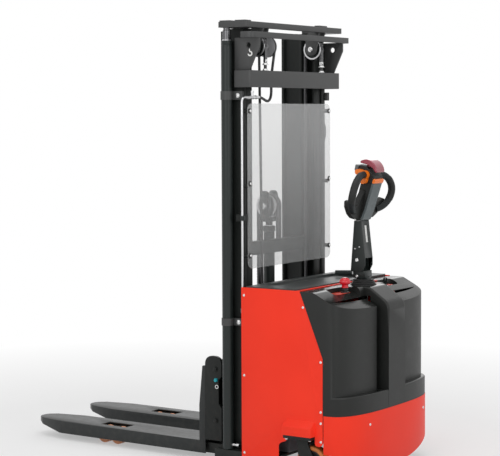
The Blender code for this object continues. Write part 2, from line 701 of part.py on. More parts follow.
def crosshead():
    """The free-lift rod with its yoke, the sheave in it and the chain over the sheave."""
    front, rear = FREE_LIFT_Y - 0.022, FREE_LIFT_Y + 0.022
    low, high = CROSSHEAD_Z
    slot_x = CROSSHEAD_X - CHEEK
    slot_z = low + 0.016
    outline = [(-CROSSHEAD_X, low), (CROSSHEAD_X, low), (CROSSHEAD_X, high + 0.01), (slot_x, high + 0.01),
               (slot_x, slot_z), (-slot_x, slot_z), (-slot_x, high + 0.01), (-CROSSHEAD_X, high + 0.01)]
    yoke = plate("crosshead", "XZ", outline, (front - 0.01, rear + 0.01), BLACK_PAINT)
    side_view = rounded([(front, low - 0.01, 0), (rear, low - 0.01, 0), (rear, high, 0.020),
                         (front, high, 0.020)])
    keep_common(yoke, plate("side_view", "YZ", side_view, (-2 * CROSSHEAD_X, 2 * CROSSHEAD_X), BLACK_PAINT))
    axle = cylinder("axle", (0.0, FREE_LIFT_Y, SHEAVE_Z), SHEAVE_AXLE_R, 2 * CROSSHEAD_X - 0.002, "X",
                    BLACK_PAINT, 20)
    rod_top = low + 0.002
    rod = cylinder("rod", (0.0, FREE_LIFT_Y, (FREE_ROD_FOOT_Z + rod_top) / 2), FREE_ROD_R,
                   rod_top - FREE_ROD_FOOT_Z, "Z", BLACK_PAINT, 20)
    join(yoke, axle, rod)
    move_origin(yoke, (0.0, FREE_LIFT_Y, low))
    grooved_wheel("crosshead_sheave", (0.0, FREE_LIFT_Y, SHEAVE_Z), 0.0225,
                  SHEAVE_PITCH_R - CHAIN_DEPTH / 2 - FIT, SHEAVE_PITCH_R + 0.0020,
                  FREE_CHAIN_WIDTH / 2 + 0.0004, 0.018, CROSSHEAD_X - CHEEK - GAP, SHEAVE_AXLE_R + FIT, STEEL)
    inner = SHEAVE_PITCH_R - CHAIN_DEPTH / 2
    outer = SHEAVE_PITCH_R + CHAIN_DEPTH / 2
    centre = (FREE_LIFT_Y, SHEAVE_Z)
    rear_end = INNER_BAR_Z[1] + GAP
    front_end = CARRIAGE_LUG_Z + GAP
    outline = [(FREE_LIFT_Y + outer, rear_end)] + arc(centre, outer, 0, 180, 16)
    outline += [(FREE_LIFT_Y - outer, front_end), (FREE_LIFT_Y - inner, front_end)]
    outline += arc(centre, inner, 180, 0, 16) + [(FREE_LIFT_Y + inner, rear_end)]
    plate("free_lift_chain", "YZ", outline, (-FREE_CHAIN_WIDTH / 2, FREE_CHAIN_WIDTH / 2), CHAIN_STEEL)


# ---- carriage and forks ---------------------------------------------------------------------

def carriage():
    """The frame that runs in the inner mast, and the forks hooked to its front."""
    face = SHANK_Y[1] + GAP
    ear_x = FORK_X[1]
    frame = block("carriage_frame", (-ear_x, ear_x), (face, -0.262), (0.380, 0.445), BLACK_PAINT)
    lower = block("lower", (-ear_x, ear_x), (face, -0.262), (0.095, 0.150), BLACK_PAINT)
    lug = block("lug", (-0.030, 0.030), (-0.263, -0.160), (0.425, CARRIAGE_LUG_Z), BLACK_PAINT)
    pieces = []
    for _, side in SIDES:
        cheek_x = mirrored_range((0.195, INNER_X[0] - 0.0015), side)
        pieces.append(plate("cheek", "YZ", rounded([(-0.2635, 0.120, 0.01), (-0.100, 0.120, 0.01),
                                                    (-0.100, 0.455, 0.02), (-0.2635, 0.455, 0.02)]),
                            cheek_x, BLACK_PAINT))
        outline = rounded([(face, 0.095, 0), (EAR_REAR_Y, 0.095, 0.006), (EAR_REAR_Y, 0.245, 0.0),
                           (EAR_REAR_Y - 0.016, 0.262, 0.0), (EAR_REAR_Y - 0.016, 0.372, 0.0),
                           (EAR_REAR_Y, 0.388, 0.0), (EAR_REAR_Y, CARRIAGE_TOP_Z, 0.035),
                           (face, CARRIAGE_TOP_Z, 0.035)])
        pieces.append(plate("ear", "YZ", outline, mirrored_range((ear_x - 0.016, ear_x), side), BLACK_PAINT))
    join(frame, lower, lug, *pieces)
    for side_name, side in SIDES:
        fork(side_name, side)


def fork(side_name, side):
    """A pressed fork: an inverted channel that runs out to a round tip, with a shank."""
    inner, outer = FORK_X
    centre = (inner + outer) / 2
    heel = SHANK_Y[1]

    def plan(wall, tip):
        """The fork's outline from above, drawn in by a wall."""
        return [(side * x, y) for x, y in
                [(inner + wall, heel + 0.01 * (wall > 0)), (outer - wall, heel + 0.01 * (wall > 0)),
                 (outer - wall, tip + 0.190), (outer - 0.030 - wall, tip + 0.045),
                 (centre + 0.032, tip + 0.008), (centre + 0.014, tip), (centre - 0.014, tip),
                 (centre - 0.032, tip + 0.008), (inner + 0.030 + wall, tip + 0.045),
                 (inner + wall, tip + 0.190)]]
    blade = plate(f"fork_{side_name}", "XY", plan(0.0, FORK_TIP_Y), FORK_Z, FORK_PAINT)
    hollow = plate("hollow", "XY", plan(FORK_SHEET, FORK_TIP_Y + 0.012),
                   (FORK_Z[0] - 0.01, FORK_Z[1] - FORK_SHEET), FORK_PAINT)
    window = block("window", mirrored_range((0.162, 0.230), side), (-0.934, -0.783), (0.06, 0.10), FORK_PAINT)
    slope = plate("slope", "YZ", [(FORK_TIP_Y - 0.01, 0.0), (FORK_TIP_Y + 0.170, 0.0),
                                  (FORK_TIP_Y + 0.170, FORK_Z[0]), (FORK_TIP_Y - 0.01, FORK_Z[1] - 0.022)],
                  mirrored_range((inner - 0.01, outer + 0.01), side), FORK_PAINT)
    shank = plate("shank", "YZ", [(SHANK_Y[1], FORK_Z[1] - FORK_SHEET), (SHANK_Y[1], SHANK_TOP_Z),
                                  (SHANK_Y[1] - 0.016, SHANK_TOP_Z), (SHANK_Y[0], 0.250),
                                  (SHANK_Y[0], FORK_Z[1] - FORK_SHEET)],
                  mirrored_range((inner, outer), side), FORK_PAINT)
    cut(blade, hollow, slope, window)
    join(blade, shank)


def support_legs():
    """The legs under the forks, each with two load rollers in a pocket."""
    for side_name, side in SIDES:
        root = BEAM_Y[0] - GAP
        low, high = LEG_Z
        outline = [(root, low + 0.002), (root, high), (LEG_TIP_Y + 0.012, high), (LEG_TIP_Y, high - 0.014),
                   (LEG_TIP_Y, low + 0.012), (LEG_TIP_Y + 0.010, low)]
        leg = plate(f"support_leg_{side_name}", "YZ", outline, mirrored_range(LEG_X, side), BLACK_PAINT)
        half = ROLLER_WIDTH / 2 + 0.002
        pocket = block("pocket", (side * ROLLER_X - half, side * ROLLER_X + half),
                       (ROLLER_Y[0] - ROLLER_R - 0.004, ROLLER_Y[1] + ROLLER_R + 0.004),
                       (0.0, 0.1), BLACK_PAINT)
        cut(leg, pocket)
        for number, y in enumerate(ROLLER_Y, start=1):
            pin = cylinder("pin", (side * ROLLER_X, y, ROLLER_R), ROLLER_PIN_R, 2 * half + 0.01, "X",
                           BLACK_PAINT, 16)
            join(leg, pin)
            width = ROLLER_WIDTH / 2
            profile = [(ROLLER_PIN_R + FIT, width), (ROLLER_R - 0.004, width), (ROLLER_R, width - 0.004),
                       (ROLLER_R, -width + 0.004), (ROLLER_R - 0.004, -width), (ROLLER_PIN_R + FIT, -width),
                       (ROLLER_PIN_R + FIT, width)]
            turned(f"load_roller_{side_name}_{number}", profile, (side * ROLLER_X, y, ROLLER_R), "X",
                   ROLLER_ORANGE, 24)


# ---- chassis and drive ----------------------------------------------------------------------

def chassis():
    """The welded frame inside the body, with what is bolted into it."""
    inside = HALF_WIDTH - SHEET - GAP
    frame = block("chassis_frame", (-HALF_WIDTH, HALF_WIDTH), BEAM_Y, BEAM_Z, BLACK_PAINT)
    floor = block("floor", (-inside, inside), (BEAM_Y[1] - 0.002, 0.175), FLOOR_Z, BLACK_PAINT)
    bulkhead = block("bulkhead", (-inside, inside), BULKHEAD_Y, (FLOOR_Z[0] + 0.002, BULKHEAD_TOP_Z),
                     BLACK_PAINT)
    cross = block("cross", (-inside, inside), (0.200, 0.380), DRIVE_PLATE_Z, BLACK_PAINT)
    tongue = block("tongue", (-0.200, 0.200), (0.378, 0.445), DRIVE_PLATE_Z, BLACK_PAINT)
    join(frame, floor, bulkhead, cross, tongue)
    for _, side in SIDES:
        rail = block("rail", mirrored_range((inside - RAIL, inside), side), (BULKHEAD_Y[0] + 0.002, 0.395),
                     (SHELF_Z[0] + 0.004, 0.535), BLACK_PAINT)
        shelf = block("shelf", mirrored_range((0.240, SHELF_X), side), SHELF_Y, SHELF_Z, BLACK_PAINT)
        join(frame, rail, shelf)
    cut(frame, cylinder("hole", (0.0, STEER_Y, DRIVE_PLATE_Z[0]), 0.050, 0.1, "Z", BLACK_PAINT))
    block("battery", (-0.300, 0.300), (0.030, 0.180), (FLOOR_Z[1] + GAP, 0.600), BATTERY_GREY)
    plate_top = DRIVE_PLATE_Z[1] + GAP
    pump = block("hydraulic_power_unit", (0.120, 0.330), (0.215, 0.345), (plate_top, 0.480), BLACK_PAINT)
    join(pump, cylinder("motor", (0.225, 0.280, 0.560), 0.055, 0.180, "Z", BLACK_PAINT, 24))


def drive():
    """The steered drive unit with its wheel."""
    top = NECK_Z - GAP
    plate_low = DRIVE_PLATE_Z[0] - GAP
    plate_high = DRIVE_PLATE_Z[1] + GAP
    profile = [(0.0, top), (0.020, top), (0.020, 0.640), (0.068, 0.630), (0.068, plate_high),
               (0.0495, plate_high), (0.0495, plate_low), (0.066, plate_low), (0.066, 0.280), (0.0, 0.280)]
    unit = turned("drive_unit", profile, (0.0, STEER_Y, 0.0), "Z", BLACK_PAINT, 24)
    half = WHEEL_WIDTH / 2
    front, rear = STEER_Y - 0.055, STEER_Y + 0.055
    outer = -half - 0.046
    bridge = block("bridge", (outer, half), (front, rear), (2 * WHEEL_R + 0.015, 0.284), BLACK_PAINT)
    outline = rounded([(front, 0.060, 0.05), (rear, 0.060, 0.05), (rear, 0.260, 0), (front, 0.260, 0)])
    gearbox = plate("gearbox", "YZ", outline, (outer, -half - 0.004), BLACK_PAINT)
    hub = cylinder("hub", (-half / 2 - 0.003, STEER_Y, WHEEL_R), DRIVE_HUB_R, half + 0.006, "X",
                   BLACK_PAINT, 24)
    join(unit, bridge, gearbox, hub)
    move_origin(unit, (0.0, STEER_Y, DRIVE_PLATE_Z[0]))
    bore = DRIVE_HUB_R + FIT
    profile = [(bore, half), (WHEEL_R - 0.030, half), (WHEEL_R - 0.004, half), (WHEEL_R, half - 0.004),
               (WHEEL_R, -half + 0.004), (WHEEL_R - 0.004, -half), (bore, -half), (bore, half)]
    turned("drive_wheel", profile, (0.0, STEER_Y, WHEEL_R), "X", WHEEL_TREAD, 32)


def casters():
    """The two stabiliser casters beside the drive wheel."""
    for side_name, side in SIDES:
        x = side * CASTER_X
        crown_z = (2 * CASTER_R + 0.008, 2 * CASTER_R + 0.024)
        axle_y = CASTER_Y + CASTER_TRAIL
        half = CASTER_WIDTH / 2
        outer = half + 0.010
        fork_body = block(f"caster_fork_{side_name}", (x - outer, x + outer),
                          (CASTER_Y - 0.026, CASTER_Y + 0.030), crown_z, BLACK_PAINT)
        low, high = crown_z[1] - 0.002, SHELF_Z[0] - GAP
        pieces = [cylinder("race", (x, CASTER_Y, (low + high) / 2), 0.030, high - low, "Z", BLACK_PAINT, 28)]
        for face in (-1, 1):
            top, foot = crown_z[0] + 0.006, CASTER_R - 0.022
            outline = rounded([(CASTER_Y - 0.024, top, 0), (CASTER_Y - 0.020, 0.110, 0.02),
                               (axle_y - 0.018, foot, 0.014), (axle_y + 0.018, foot, 0.014),
                               (axle_y + 0.020, 0.095, 0.02), (CASTER_Y + 0.028, top, 0)])
            span = sorted((x + face * (half + 0.003), x + face * outer))
            pieces.append(plate("blade", "YZ", outline, span, BLACK_PAINT))
        pieces.append(cylinder("pin", (x, axle_y, CASTER_R), CASTER_PIN_R, 2 * outer - 0.002, "X",
                               BLACK_PAINT, 16))
        join(fork_body, *pieces)
        move_origin(fork_body, (x, CASTER_Y, crown_z[1]))
        bore = CASTER_PIN_R + FIT
        hub = half + 0.003 - GAP
        profile = [(bore, hub), (0.016, hub), (0.016, half), (CASTER_R - 0.006, half),
                   (CASTER_R, half - 0.006), (CASTER_R, -half + 0.006), (CASTER_R - 0.006, -half),
                   (0.016, -half), (0.016, -hub), (bore, -hub), (bore, hub)]
        turned(f"caster_wheel_{side_name}", profile, (x, axle_y, CASTER_R), "X", WHEEL_TREAD, 28)


# ---- body -----------------------------------------------------------------------------------

def side_panels():
    """The red side panels, cut out for the casters and pressed out over them."""
    (slant_y, _), (_, slant_z) = PANEL_SLANT
    for side_name, side in SIDES:
        outline = rounded([(BODY_FRONT_Y, PANEL_TOP_Z, 0.004), (slant_y, PANEL_TOP_Z, 0),
                           (PANEL_REAR_Y, slant_z, 0), (PANEL_REAR_Y, 0.150, 0.02),
                           (HOOD_Y[1], 0.160, 0.01), (HOOD_Y[1], SHELF_Z[1] + GAP, 0),
                           (HOOD_Y[0], SHELF_Z[1] + GAP, 0), (HOOD_Y[0], 0.165, 0.008),
                           (0.187, 0.150, 0.02), (0.187, PANEL_BOTTOM_Z, 0),
                           (BODY_FRONT_Y, PANEL_BOTTOM_Z, 0.004)])
        panel = plate(f"side_panel_{side_name}", "YZ", outline,
                      mirrored_range((HALF_WIDTH - SHEET, HALF_WIDTH), side), RED)
        low = SHELF_Z[1] + GAP
        hood = plate("hood", "XZ", [(side * x, z) for x, z in
                                    [(HALF_WIDTH - 0.001, low), (HOOD_X, low), (HOOD_X, 0.235),
                                     (HALF_WIDTH - 0.001, 0.262)]], HOOD_Y, RED)
        join(panel, hood)


def shell_ring(name, outer, inner, z, material):
    """A wall that follows the body's plan: what lies between two bows."""
    wall = plate(name, "XY", outer, z, material)
    return cut(wall, plate("inside", "XY", inner, (z[0] - 0.01, z[1] + 0.01), material))


def rear_skirt():
    """The red sheet that wraps the rear under the cover."""
    front = SKIRT_Y
    skirt = shell_ring("rear_skirt", bow(HALF_WIDTH, SKIRT_BOW, front),
                       bow(HALF_WIDTH - SHEET, SKIRT_BOW - SHEET, front - 0.0001),
                       (SKIRT_BOTTOM_Z, SKIRT_TOP_Z), RED)
    across = [0.42 * step / 20 for step in range(-20, 21)]
    arch = [(-0.5, -0.1)] + [(x, ARCH_Z + ARCH_RISE * (x / 0.3) ** 2) for x in across] + [(0.5, -0.1)]
    cut(skirt, plate("arch", "XZ", arch, (front - 0.05, front + 0.3), RED))


def rear_cover():
    """The moulded cover: two pods with sloped tops and a column between them."""
    top = DECK_Z
    low = SKIRT_TOP_Z + GAP
    slant_y, slant_z = PANEL_SLANT[0]
    side_view = rounded([(slant_y + 0.002, top, 0), (PANEL_REAR_Y + 0.0015, PANEL_SLANT[1][1], 0),
                         (PANEL_REAR_Y + 0.0015, low, 0), (0.60, low, 0), (0.60, 0.690, 0),
                         (0.362, top, 0.02)])
    cover = plate("rear_cover", "YZ", side_view, (-HALF_WIDTH, HALF_WIDTH), COVER_BLACK)
    plan = [(HALF_WIDTH, 0.25)] + bow(HALF_WIDTH, COVER_BOW, SKIRT_Y) + [(-HALF_WIDTH, 0.25)]
    keep_common(cover, plate("plan", "XY", plan, (0.0, 1.0), COVER_BLACK))
    ledge_rear = SKIRT_BOW - 0.003
    ledge = plate("ledge", "XY", bow(HALF_WIDTH - 0.001, ledge_rear, SKIRT_Y), (low, LEDGE_Z), COVER_BLACK)
    side_view = rounded([(0.330, low, 0), (COLUMN_REAR_Y, low, 0), (COLUMN_REAR_Y, 0.745, 0.05),
                         (0.455, top, 0.04), (0.330, top, 0)])
    column = plate("column", "YZ", side_view, (-COLUMN_X, COLUMN_X), COVER_BLACK)
    join(cover, ledge, column)
    grooves = []
    for _, side in SIDES:
        groove_x = mirrored_range((COLUMN_X, COLUMN_X + GROOVE), side)
        outline = [(0.425, top + 0.01), (0.455, LEDGE_Z), (0.60, LEDGE_Z), (0.60, top + 0.01)]
        grooves.append(plate("groove", "YZ", outline, groove_x, COVER_BLACK))
        grooves.append(block("pocket", mirrored_range(POCKET_X, side), POCKET_Y, (POCKET_FLOOR_Z, 0.9),
                             COVER_BLACK))
    cut(cover, *grooves)
    wall = COVER_WALL
    inner_plan = [(HALF_WIDTH - wall, 0.20)] + bow(HALF_WIDTH - wall, COVER_BOW - 0.052, SKIRT_Y - 0.01)
    inner_plan.append((-HALF_WIDTH + wall, 0.20))
    hollow = plate("hollow", "XY", inner_plan, (low - 0.01, POCKET_FLOOR_Z - 0.010), COVER_BLACK)
    pods = bow(HALF_WIDTH - wall, COVER_BOW - wall, SKIRT_Y)
    pod_hollows = []
    for _, side in SIDES:
        pod = plate("pod", "XY", pods, (low - 0.01, 0.705), COVER_BLACK)
        span = mirrored_range((COLUMN_X + GROOVE + wall, HALF_WIDTH), side)
        pod_hollows.append(keep_common(pod, block("span", span, (0.2, 0.6), (0.0, 1.0), COVER_BLACK)))
    drive_room = block("drive_room", (-COLUMN_X + wall, COLUMN_X - wall), (0.40, COLUMN_REAR_Y - wall),
                       (low - 0.01, 0.700), COVER_BLACK)
    cut(cover, hollow, *pod_hollows, drive_room)
    steer = cylinder("steer", (0.0, STEER_Y, top), NECK_R + 0.004, 0.2, "Z", COVER_BLACK)
    stop = cylinder("stop", (STOP_X, STOP_Y, POCKET_FLOOR_Z), STOP_STEM_R + FIT, 0.1, "Z", COVER_BLACK, 20)
    key = cylinder("key", (-KEY_X, STOP_Y, POCKET_FLOOR_Z), KEY_R + FIT, 0.1, "Z", COVER_BLACK, 20)
    cut(cover, steer, stop, key)
    top_tray(slant_y - 0.004)


def top_tray(rear):
    """The dished tray in front of the cover, which stands on the bulkhead."""
    inside = HALF_WIDTH - SHEET - GAP
    tray = block("top_tray", (-inside, inside), (BULKHEAD_Y[0] - 0.002, rear),
                 (BULKHEAD_TOP_Z + GAP, TRAY_Z), GLOSS_BLACK)
    dish = plate("dish", "XY", rounded([(-0.300, 0.050, 0.03), (0.300, 0.050, 0.03), (0.300, 0.250, 0.03),
                                        (-0.300, 0.250, 0.03)]), (TRAY_Z - 0.012, TRAY_Z + 0.01), GLOSS_BLACK)
    cut(tray, dish)


def controls():
    """The emergency stop, the key and the boot around the tiller."""
    stem_low = POCKET_FLOOR_Z - 0.020 + STOP_TRAVEL + 0.004
    profile = [(0.0, 0.858), (0.012, 0.856), (0.020, 0.850), (0.0245, 0.840), (0.0245, 0.832), (0.017, 0.826),
               (STOP_STEM_R, 0.824), (STOP_STEM_R, stem_low), (0.0, stem_low)]
    stop = turned("emergency_stop", profile, (STOP_X, STOP_Y, 0.0), "Z", STOP_RED, 20)
    move_origin(stop, (STOP_X, STOP_Y, POCKET_FLOOR_Z))
    key = cylinder("key_switch", (-KEY_X, STOP_Y, POCKET_FLOOR_Z + 0.005), KEY_R, 0.024, "Z", BLACK_PAINT,
                   20)
    join(key, block("bow", (-KEY_X - 0.0025, -KEY_X + 0.0025), (STOP_Y - 0.011, STOP_Y + 0.011),
                    (POCKET_FLOOR_Z + 0.015, POCKET_FLOOR_Z + 0.042), BLACK_PAINT))
    foot = DECK_Z + GAP
    bore = NECK_R + 0.003
    profile = [(bore, foot), (bore, foot + 0.024), (0.040, foot + 0.026)]
    for ring in range(3):
        height = foot + 0.024 - 0.008 * ring
        profile += [(0.046 + 0.004 * ring, height - 0.002), (0.042 + 0.004 * ring, height - 0.006)]
    profile += [(0.058, foot + 0.002), (0.058, foot), (bore, foot)]
    turned("tiller_boot", profile, (0.0, STEER_Y, 0.0), "Z", RUBBER, 24)


# ---- tiller ---------------------------------------------------------------------------------

def tiller():
    """Neck, arm and head."""
    neck = cylinder("tiller_neck", (0.0, STEER_Y, NECK_Z + 0.015), NECK_R, 0.030, "Z", BLACK_PAINT)
    inside = ARM_X - ARM_SHEET - 0.001
    body = block("body", (-inside, inside), (0.345, 0.405), (NECK_Z + 0.022, 0.875), BLACK_PAINT)
    post = plate("post", "YZ", [(0.345, 0.870), (TILT_Y + 0.0115, 0.870)] +
                 arc((TILT_Y - 0.005, TILT_Z), 0.0165, 0, 180, 10), (-inside, inside), BLACK_PAINT)
    join(neck, body, post)
    hole = cylinder("hole", (0.0, TILT_Y, TILT_Z), TILT_PIN_R + FIT, 0.1, "X", BLACK_PAINT, 20)
    cut(neck, hole)
    move_origin(neck, (0.0, STEER_Y, NECK_Z))
    arm = None
    for _, side in SIDES:
        outline = rounded([(0.3345, 0.870, 0.006), (0.3925, 0.870, 0.004), (0.4075, 0.900, 0.004),
                           (0.4075, 0.930, 0.004), (0.388, ARM_TOP_Z, 0), (0.3525, ARM_TOP_Z, 0)])
        cheek = plate("tiller_arm" if side > 0 else "cheek", "YZ", outline,
                      mirrored_range((ARM_X - ARM_SHEET, ARM_X), side), BLACK_PAINT)
        arm = cheek if arm is None else join(arm, cheek)
    web = plate("web", "YZ", [(0.4044, 0.932), (0.40726, 0.932), (0.388, ARM_TOP_Z), (0.385, ARM_TOP_Z)],
                (-ARM_X + 0.001, ARM_X - 0.001), BLACK_PAINT)
    cut(web, block("slot", (-0.009, 0.009), (0.3, 0.5), (1.000, 1.075), BLACK_PAINT))
    pin = cylinder("pin", (0.0, TILT_Y, TILT_Z), TILT_PIN_R, 2 * ARM_X - 0.001, "X", BLACK_PAINT, 20)
    join(arm, web, pin)
    move_origin(arm, (0.0, TILT_Y, TILT_Z))
    tiller_head()


def in_head(item):
    """Turn a solid drawn upright about the head's foot into the leaning head."""
    pivot = Vector((0.0, HEAD_Y, HEAD_Z)) + LENGTH_SHIFT
    turn = Matrix.Translation(pivot) @ Matrix.Rotation(-HEAD_LEAN, 4, "X")
    lift = Matrix.Translation(-LENGTH_SHIFT)
    bpy.context.view_layer.update()
    item.data.transform(turn @ lift @ item.matrix_world)
    item.matrix_world = Matrix.Identity(4)
    return item


def head_point(x, v, w):
    """A place in the leaning head, as machine coordinates."""
    return (x, HEAD_Y + v * math.cos(HEAD_LEAN) + w * math.sin(HEAD_LEAN),
            HEAD_Z - v * math.sin(HEAD_LEAN) + w * math.cos(HEAD_LEAN))


def tiller_head():
    """The head: a spine, a housing, two grip loops with wings, and what is pressed or turned on it."""
    spine = in_head(block("tiller_head", (-0.037, 0.037), (-0.026, 0.024), (0.0105, 0.180), HEAD_GREY))
    foot = block("foot", (-0.034, 0.034), (0.352, 0.392), (ARM_TOP_Z + GAP, 1.128), HEAD_GREY)
    outline = rounded([(HOUSING_FRONT_V, 0.178, 0.008), (0.030, 0.178, 0.006), (0.034, 0.215, 0.012),
                       (-0.010, 0.243, 0.02), (HOUSING_FRONT_V, 0.243, 0.01)])
    housing = in_head(plate("housing", "YZ", outline, (-HOUSING_X, HOUSING_X), HEAD_GREY))
    pieces = [foot, housing]
    for _, side in SIDES:
        start = [(side * 0.030, GRIP_V, GRIP_W), (side * 0.064, GRIP_V, GRIP_W)]
        loop = [(side * (0.078 + 0.088 * math.sin(a)), GRIP_V, 0.122 + 0.085 * math.cos(a))
                for a in (math.radians(step) for step in range(0, 166, 15))]
        pieces.append(in_head(tube("grip", start + loop, GRIP_R, GRIP_GREY, 3)))
        outline = [(0.035, 0.150), (0.035, 0.012), (0.085, 0.012), (0.120, 0.030), (0.150, 0.065),
                   (0.158, 0.090), (0.145, 0.092), (0.080, 0.070)]
        wing = plate("wing", "XZ", [(side * x, z) for x, z in outline], (GRIP_V - 0.012, GRIP_V + 0.010),
                     GRIP_GREY)
        pieces.append(in_head(wing))
        throttle(side)
    join(spine, *pieces)
    well = in_head(cylinder("well", (0.0, BELLY_V, 0.230), 0.0123, 0.060, "Z", HEAD_GREY, 24))
    sockets = [in_head(cylinder("socket", (side * BUTTON_X, HOUSING_FRONT_V + 0.002, BUTTON_W),
                                BUTTON_STEM_R + FIT, 0.028, "Y", HEAD_GREY, 16)) for _, side in SIDES]
    cut(spine, well, *sockets)
    move_origin(spine, head_point(0.0, 0.0, 0.0))
    cap = plate("belly_button", "YZ", [(-0.047, 0.2515), (0.000, 0.2515), (0.0365, 0.2260), (0.0450, 0.2340),
                                       *arc((-0.010, 0.2180), 0.0560, 22, 108, 10), (-0.047, 0.2600)],
                (-0.036, 0.036), BELLY_RED)
    stem = cylinder("stem", (0.0, BELLY_V, 0.2340), 0.0120, 0.040, "Z", BELLY_RED, 24)
    join(cap, stem)
    in_head(cap)
    move_origin(cap, head_point(0.0, BELLY_V, 0.250))
    for name, side in (("lift_button", 1), ("horn_button", -1)):
        rear = HOUSING_FRONT_V - BUTTON_TRAVEL - GAP
        button = block(name, mirrored_range((0.003, HOUSING_X - 0.001), side), (rear - 0.026, rear),
                       (BUTTON_W - 0.014, BUTTON_W + 0.014), HEAD_GREY)
        join(button, cylinder("stem", (side * BUTTON_X, rear + 0.003, BUTTON_W), BUTTON_STEM_R, 0.014, "Y",
                              HEAD_GREY, 16))
        in_head(button)
        move_origin(button, head_point(side * BUTTON_X, HOUSING_FRONT_V, BUTTON_W))


def throttle(side):
    """One butterfly: a ring around the root of a grip with a lobe up and a lobe down."""
    name = "throttle_left" if side > 0 else "throttle_right"
    span = mirrored_range((HOUSING_X + GAP, HOUSING_X + 0.0185), side)
    outline = rounded([(-0.048, 0.012, 0.010), (-0.030, 0.020, 0.010), (-0.012, 0.019, 0.004),
                       (0.018, -0.006, 0.006), (0.018, -0.030, 0.012), (-0.006, -0.048, 0.012),
                       (-0.017, -0.012, 0.006), (-0.044, -0.004, 0.008)])
    lobe = [(GRIP_V + u, GRIP_W + w) for u, w in outline]
    butterfly = plate(name, "YZ", lobe, span, ORANGE)
    hub = cylinder("hub", (sum(span) / 2, GRIP_V, GRIP_W), 0.0205, span[1] - span[0], "X", ORANGE, 28)
    join(butterfly, hub)
    bore = cylinder("bore", (sum(span) / 2, GRIP_V, GRIP_W), GRIP_R + 0.0006, 0.06, "X", ORANGE, 28)
    cut(butterfly, bore)
    in_head(butterfly)
    move_origin(butterfly, head_point(side * HOUSING_X, GRIP_V, GRIP_W))


def round_off():
    """Shade round pieces smooth and leave their edges sharp."""
    for item in PARTS.objects:
        item.data.shade_smooth()
        item.data.set_sharp_from_angle(angle=math.radians(32))


def main():
    """Build every piece."""
    chassis()
    support_legs()
    drive()
    casters()
    outer_mast()
    middle_mast()
    inner_mast()
    crosshead()
    carriage()
    side_panels()
    rear_skirt()
    rear_cover()
    controls()
    tiller()
    round_off()


main()
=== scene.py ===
"""The looks of a walkie stacker, built around its packed construction.

Y values given to at() and to the tracing helpers are measured from the plane of the mast guard, as on
the machine's drawings. Left is +X, the forks point along -Y and the operator stands at +Y.
"""

import logging
import math
from dataclasses import dataclass
from enum import Enum
from typing import Iterable, Sequence

import bpy
from mathutils import Matrix, Vector


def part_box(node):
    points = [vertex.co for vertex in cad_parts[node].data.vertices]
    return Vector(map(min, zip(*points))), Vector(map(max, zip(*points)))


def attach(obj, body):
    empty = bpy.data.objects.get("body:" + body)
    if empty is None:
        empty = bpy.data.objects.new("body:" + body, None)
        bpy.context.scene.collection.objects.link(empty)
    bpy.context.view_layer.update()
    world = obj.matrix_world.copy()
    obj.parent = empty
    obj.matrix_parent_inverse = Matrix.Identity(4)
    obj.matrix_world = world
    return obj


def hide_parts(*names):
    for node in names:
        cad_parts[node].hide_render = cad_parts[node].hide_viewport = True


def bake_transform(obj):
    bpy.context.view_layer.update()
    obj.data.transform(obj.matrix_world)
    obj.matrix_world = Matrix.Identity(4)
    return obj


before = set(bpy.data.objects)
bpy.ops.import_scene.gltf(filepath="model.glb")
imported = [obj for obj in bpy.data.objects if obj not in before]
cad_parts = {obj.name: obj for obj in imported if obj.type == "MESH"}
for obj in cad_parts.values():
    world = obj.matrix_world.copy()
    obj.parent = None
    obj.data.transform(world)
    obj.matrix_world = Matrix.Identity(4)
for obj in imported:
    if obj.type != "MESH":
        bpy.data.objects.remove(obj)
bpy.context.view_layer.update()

LOG = logging.getLogger("walkie_stacker")
Point = Sequence[float]
Solid = bpy.types.Object
GUARD_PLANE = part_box("mast_guard")[0].y + 0.004
SIDES = (("left", 1), ("right", -1))
CHAIN_X, PULLEY_Y, PULLEY_Z, CHAIN_R = 0.238, -0.023, 1.866, 0.0432
SHEAVE_Y, SHEAVE_Z, SHEAVE_R = -0.118, 1.147, 0.052


def at(x: float, y: float, z: float) -> Vector:
    """A place in the frame, from a Y measured at the mast guard."""
    return Vector((x, y + GUARD_PLANE, z))


def near(node: str) -> tuple[Vector, Vector]:
    """A construction node's box, with Y measured at the mast guard.

    Args:
        node: name of the node.

    Returns:
        Its lowest and its highest corner.
    """
    low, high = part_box(node)
    shift = Vector((0.0, GUARD_PLANE, 0.0))
    return low - shift, high - shift


# ---- shading --------------------------------------------------------------------------------

